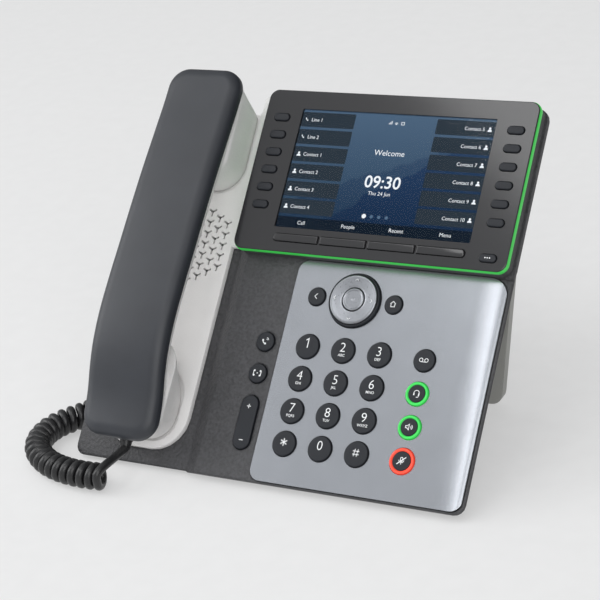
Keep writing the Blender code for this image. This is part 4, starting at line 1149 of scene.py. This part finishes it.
def dress_the_rest(looks):
    finishes = {
        "front_housing": "housing", "rear_housing": "rear", "stand": "stand", "stand_foot_pad": "rubber",
        "base_foot_pad": "rubber", "main_board": "board", "ringer_speaker": "speaker", "lcd_module": "socket",
        "display_window": "window", "hook_plunger": "key",
    }
    for name, node in frame["nodes"].items():
        look = looks[finishes.get(name, "key")]
        for i in range(len(node.data.materials)):
            node.data.materials[i] = look


# --- Light, floor and camera ---


PHONE_MIDDLE = (0.03, 0.0, 0.08)


def add_light(name, toward, distance, size, power, along=(1, 0, 0)):
    """A soft box in a direction from the phone, facing it, with its long side along a direction."""
    data = bpy.data.lights.new(name, "AREA")
    data.shape = "RECTANGLE"
    data.size, data.size_y = size
    data.energy = power
    light = bpy.data.objects.new(name, data)
    bpy.context.scene.collection.objects.link(light)
    back = Vector(toward).normalized()
    side = (Vector(along) - back * back.dot(Vector(along))).normalized()
    turn = Matrix((back.cross(side) * -1, side, back)).transposed()
    light.matrix_world = Matrix.Translation(back * distance + Vector(PHONE_MIDDLE)) @ turn.to_4x4()


def make_sky_light():
    """A studio that is bright above and to the left, and falls to dark on the right."""
    world = bpy.data.worlds.new("studio")
    bpy.context.scene.world = world
    world.use_nodes = True
    nodes, links = world.node_tree.nodes, world.node_tree.links
    kinds = ("TexCoord", "VectorMath", "ValToRGB", "Math")
    where, lean, ramp, shift = (nodes.new(f"ShaderNode{kind}") for kind in kinds)
    lean.operation = "DOT_PRODUCT"
    lean.inputs[1].default_value = (-0.45, -0.35, 0.5)
    links.new(where.outputs["Generated"], lean.inputs[0])
    shift.operation = "ADD"
    shift.inputs[1].default_value = 0.3
    links.new(lean.outputs["Value"], shift.inputs[0])
    links.new(shift.outputs[0], ramp.inputs[0])
    for stop, place_here, level in zip(ramp.color_ramp.elements, (0.1, 0.95), (0.06, 0.80)):
        stop.position = place_here
        stop.color = (level * 0.97, level * 0.985, level, 1.0)
    links.new(ramp.outputs[0], nodes["Background"].inputs[0])


def make_studio():
    floor = Finish("floor", (0.40, 0.40, 0.40), 0.9, drift=0.002, grain=(60, 0.0), edge=0.0,
                   specular=0.0, dust=0.01)
    floor.glow((0.44, 0.44, 0.44), 1.0)
    mesh = bmesh.new()
    bmesh.ops.create_grid(mesh, x_segments=1, y_segments=1, size=6.0)
    data = bpy.data.meshes.new("floor")
    mesh.to_mesh(data)
    mesh.free()
    place("floor", data, floor.material, Matrix.Translation((0, 0, -0.0002)))
    make_sky_light()
    add_light("strip_light", (-0.180, -0.434, 0.882), 1.6, (0.26, 1.5), 4.6, (0.64, -0.77, 0.0))
    add_light("left_light", (-0.85, -0.25, 0.45), 1.7, (0.9, 1.2), 9.0)
    add_light("right_light", (0.50, -0.70, 0.50), 2.0, (1.6, 1.2), 15.0)


CAMERA_PLACE = (0.43386, -0.68492, 0.49411)
CAMERA_ANGLES = (32.046, 25.683, -8.993)
CAMERA_LENS = 115.5


def make_camera():
    """A long lens over the phone's right front corner: its azimuth, elevation and roll are in degrees."""
    data = bpy.data.cameras.new("camera")
    data.lens, data.sensor_width = CAMERA_LENS, 36.0
    data.clip_start, data.clip_end = 0.01, 50
    camera = bpy.data.objects.new("camera", data)
    bpy.context.scene.collection.objects.link(camera)
    azimuth, elevation, roll = (math.radians(angle) for angle in CAMERA_ANGLES)
    turn = Matrix.Rotation(azimuth, 4, "Z") @ Matrix.Rotation(math.pi / 2 - elevation, 4, "X")
    camera.matrix_world = DESK @ Matrix.Translation(CAMERA_PLACE) @ turn @ Matrix.Rotation(roll, 4, "Z")
    bpy.context.scene.camera = camera


def main():
    looks = make_finishes()
    looks["window"] = make_window()
    looks["picture"] = make_sky()
    glowing = {"boxes": (0.022, 0.033, 0.046), "footer": (0.006, 0.012, 0.022),
               "bright": (0.78, 0.82, 0.86), "faint": (0.08, 0.14, 0.22)}
    looks |= {name: make_glowing(name, colour) for name, colour in glowing.items()}
    dress_the_rest(looks)
    make_round_keys(looks)
    make_lit_keys(looks)
    make_head_keys(looks)
    make_rocker(looks)
    make_navigation(looks)
    make_faceplate(looks)
    make_bezel(looks)
    make_screen(looks)
    make_tray(looks)
    make_top_shell(looks)
    make_bottom_shell(looks)
    make_cord(looks)
    make_studio()
    make_camera()
    bpy.context.scene.view_settings.view_transform = "Standard"


main()
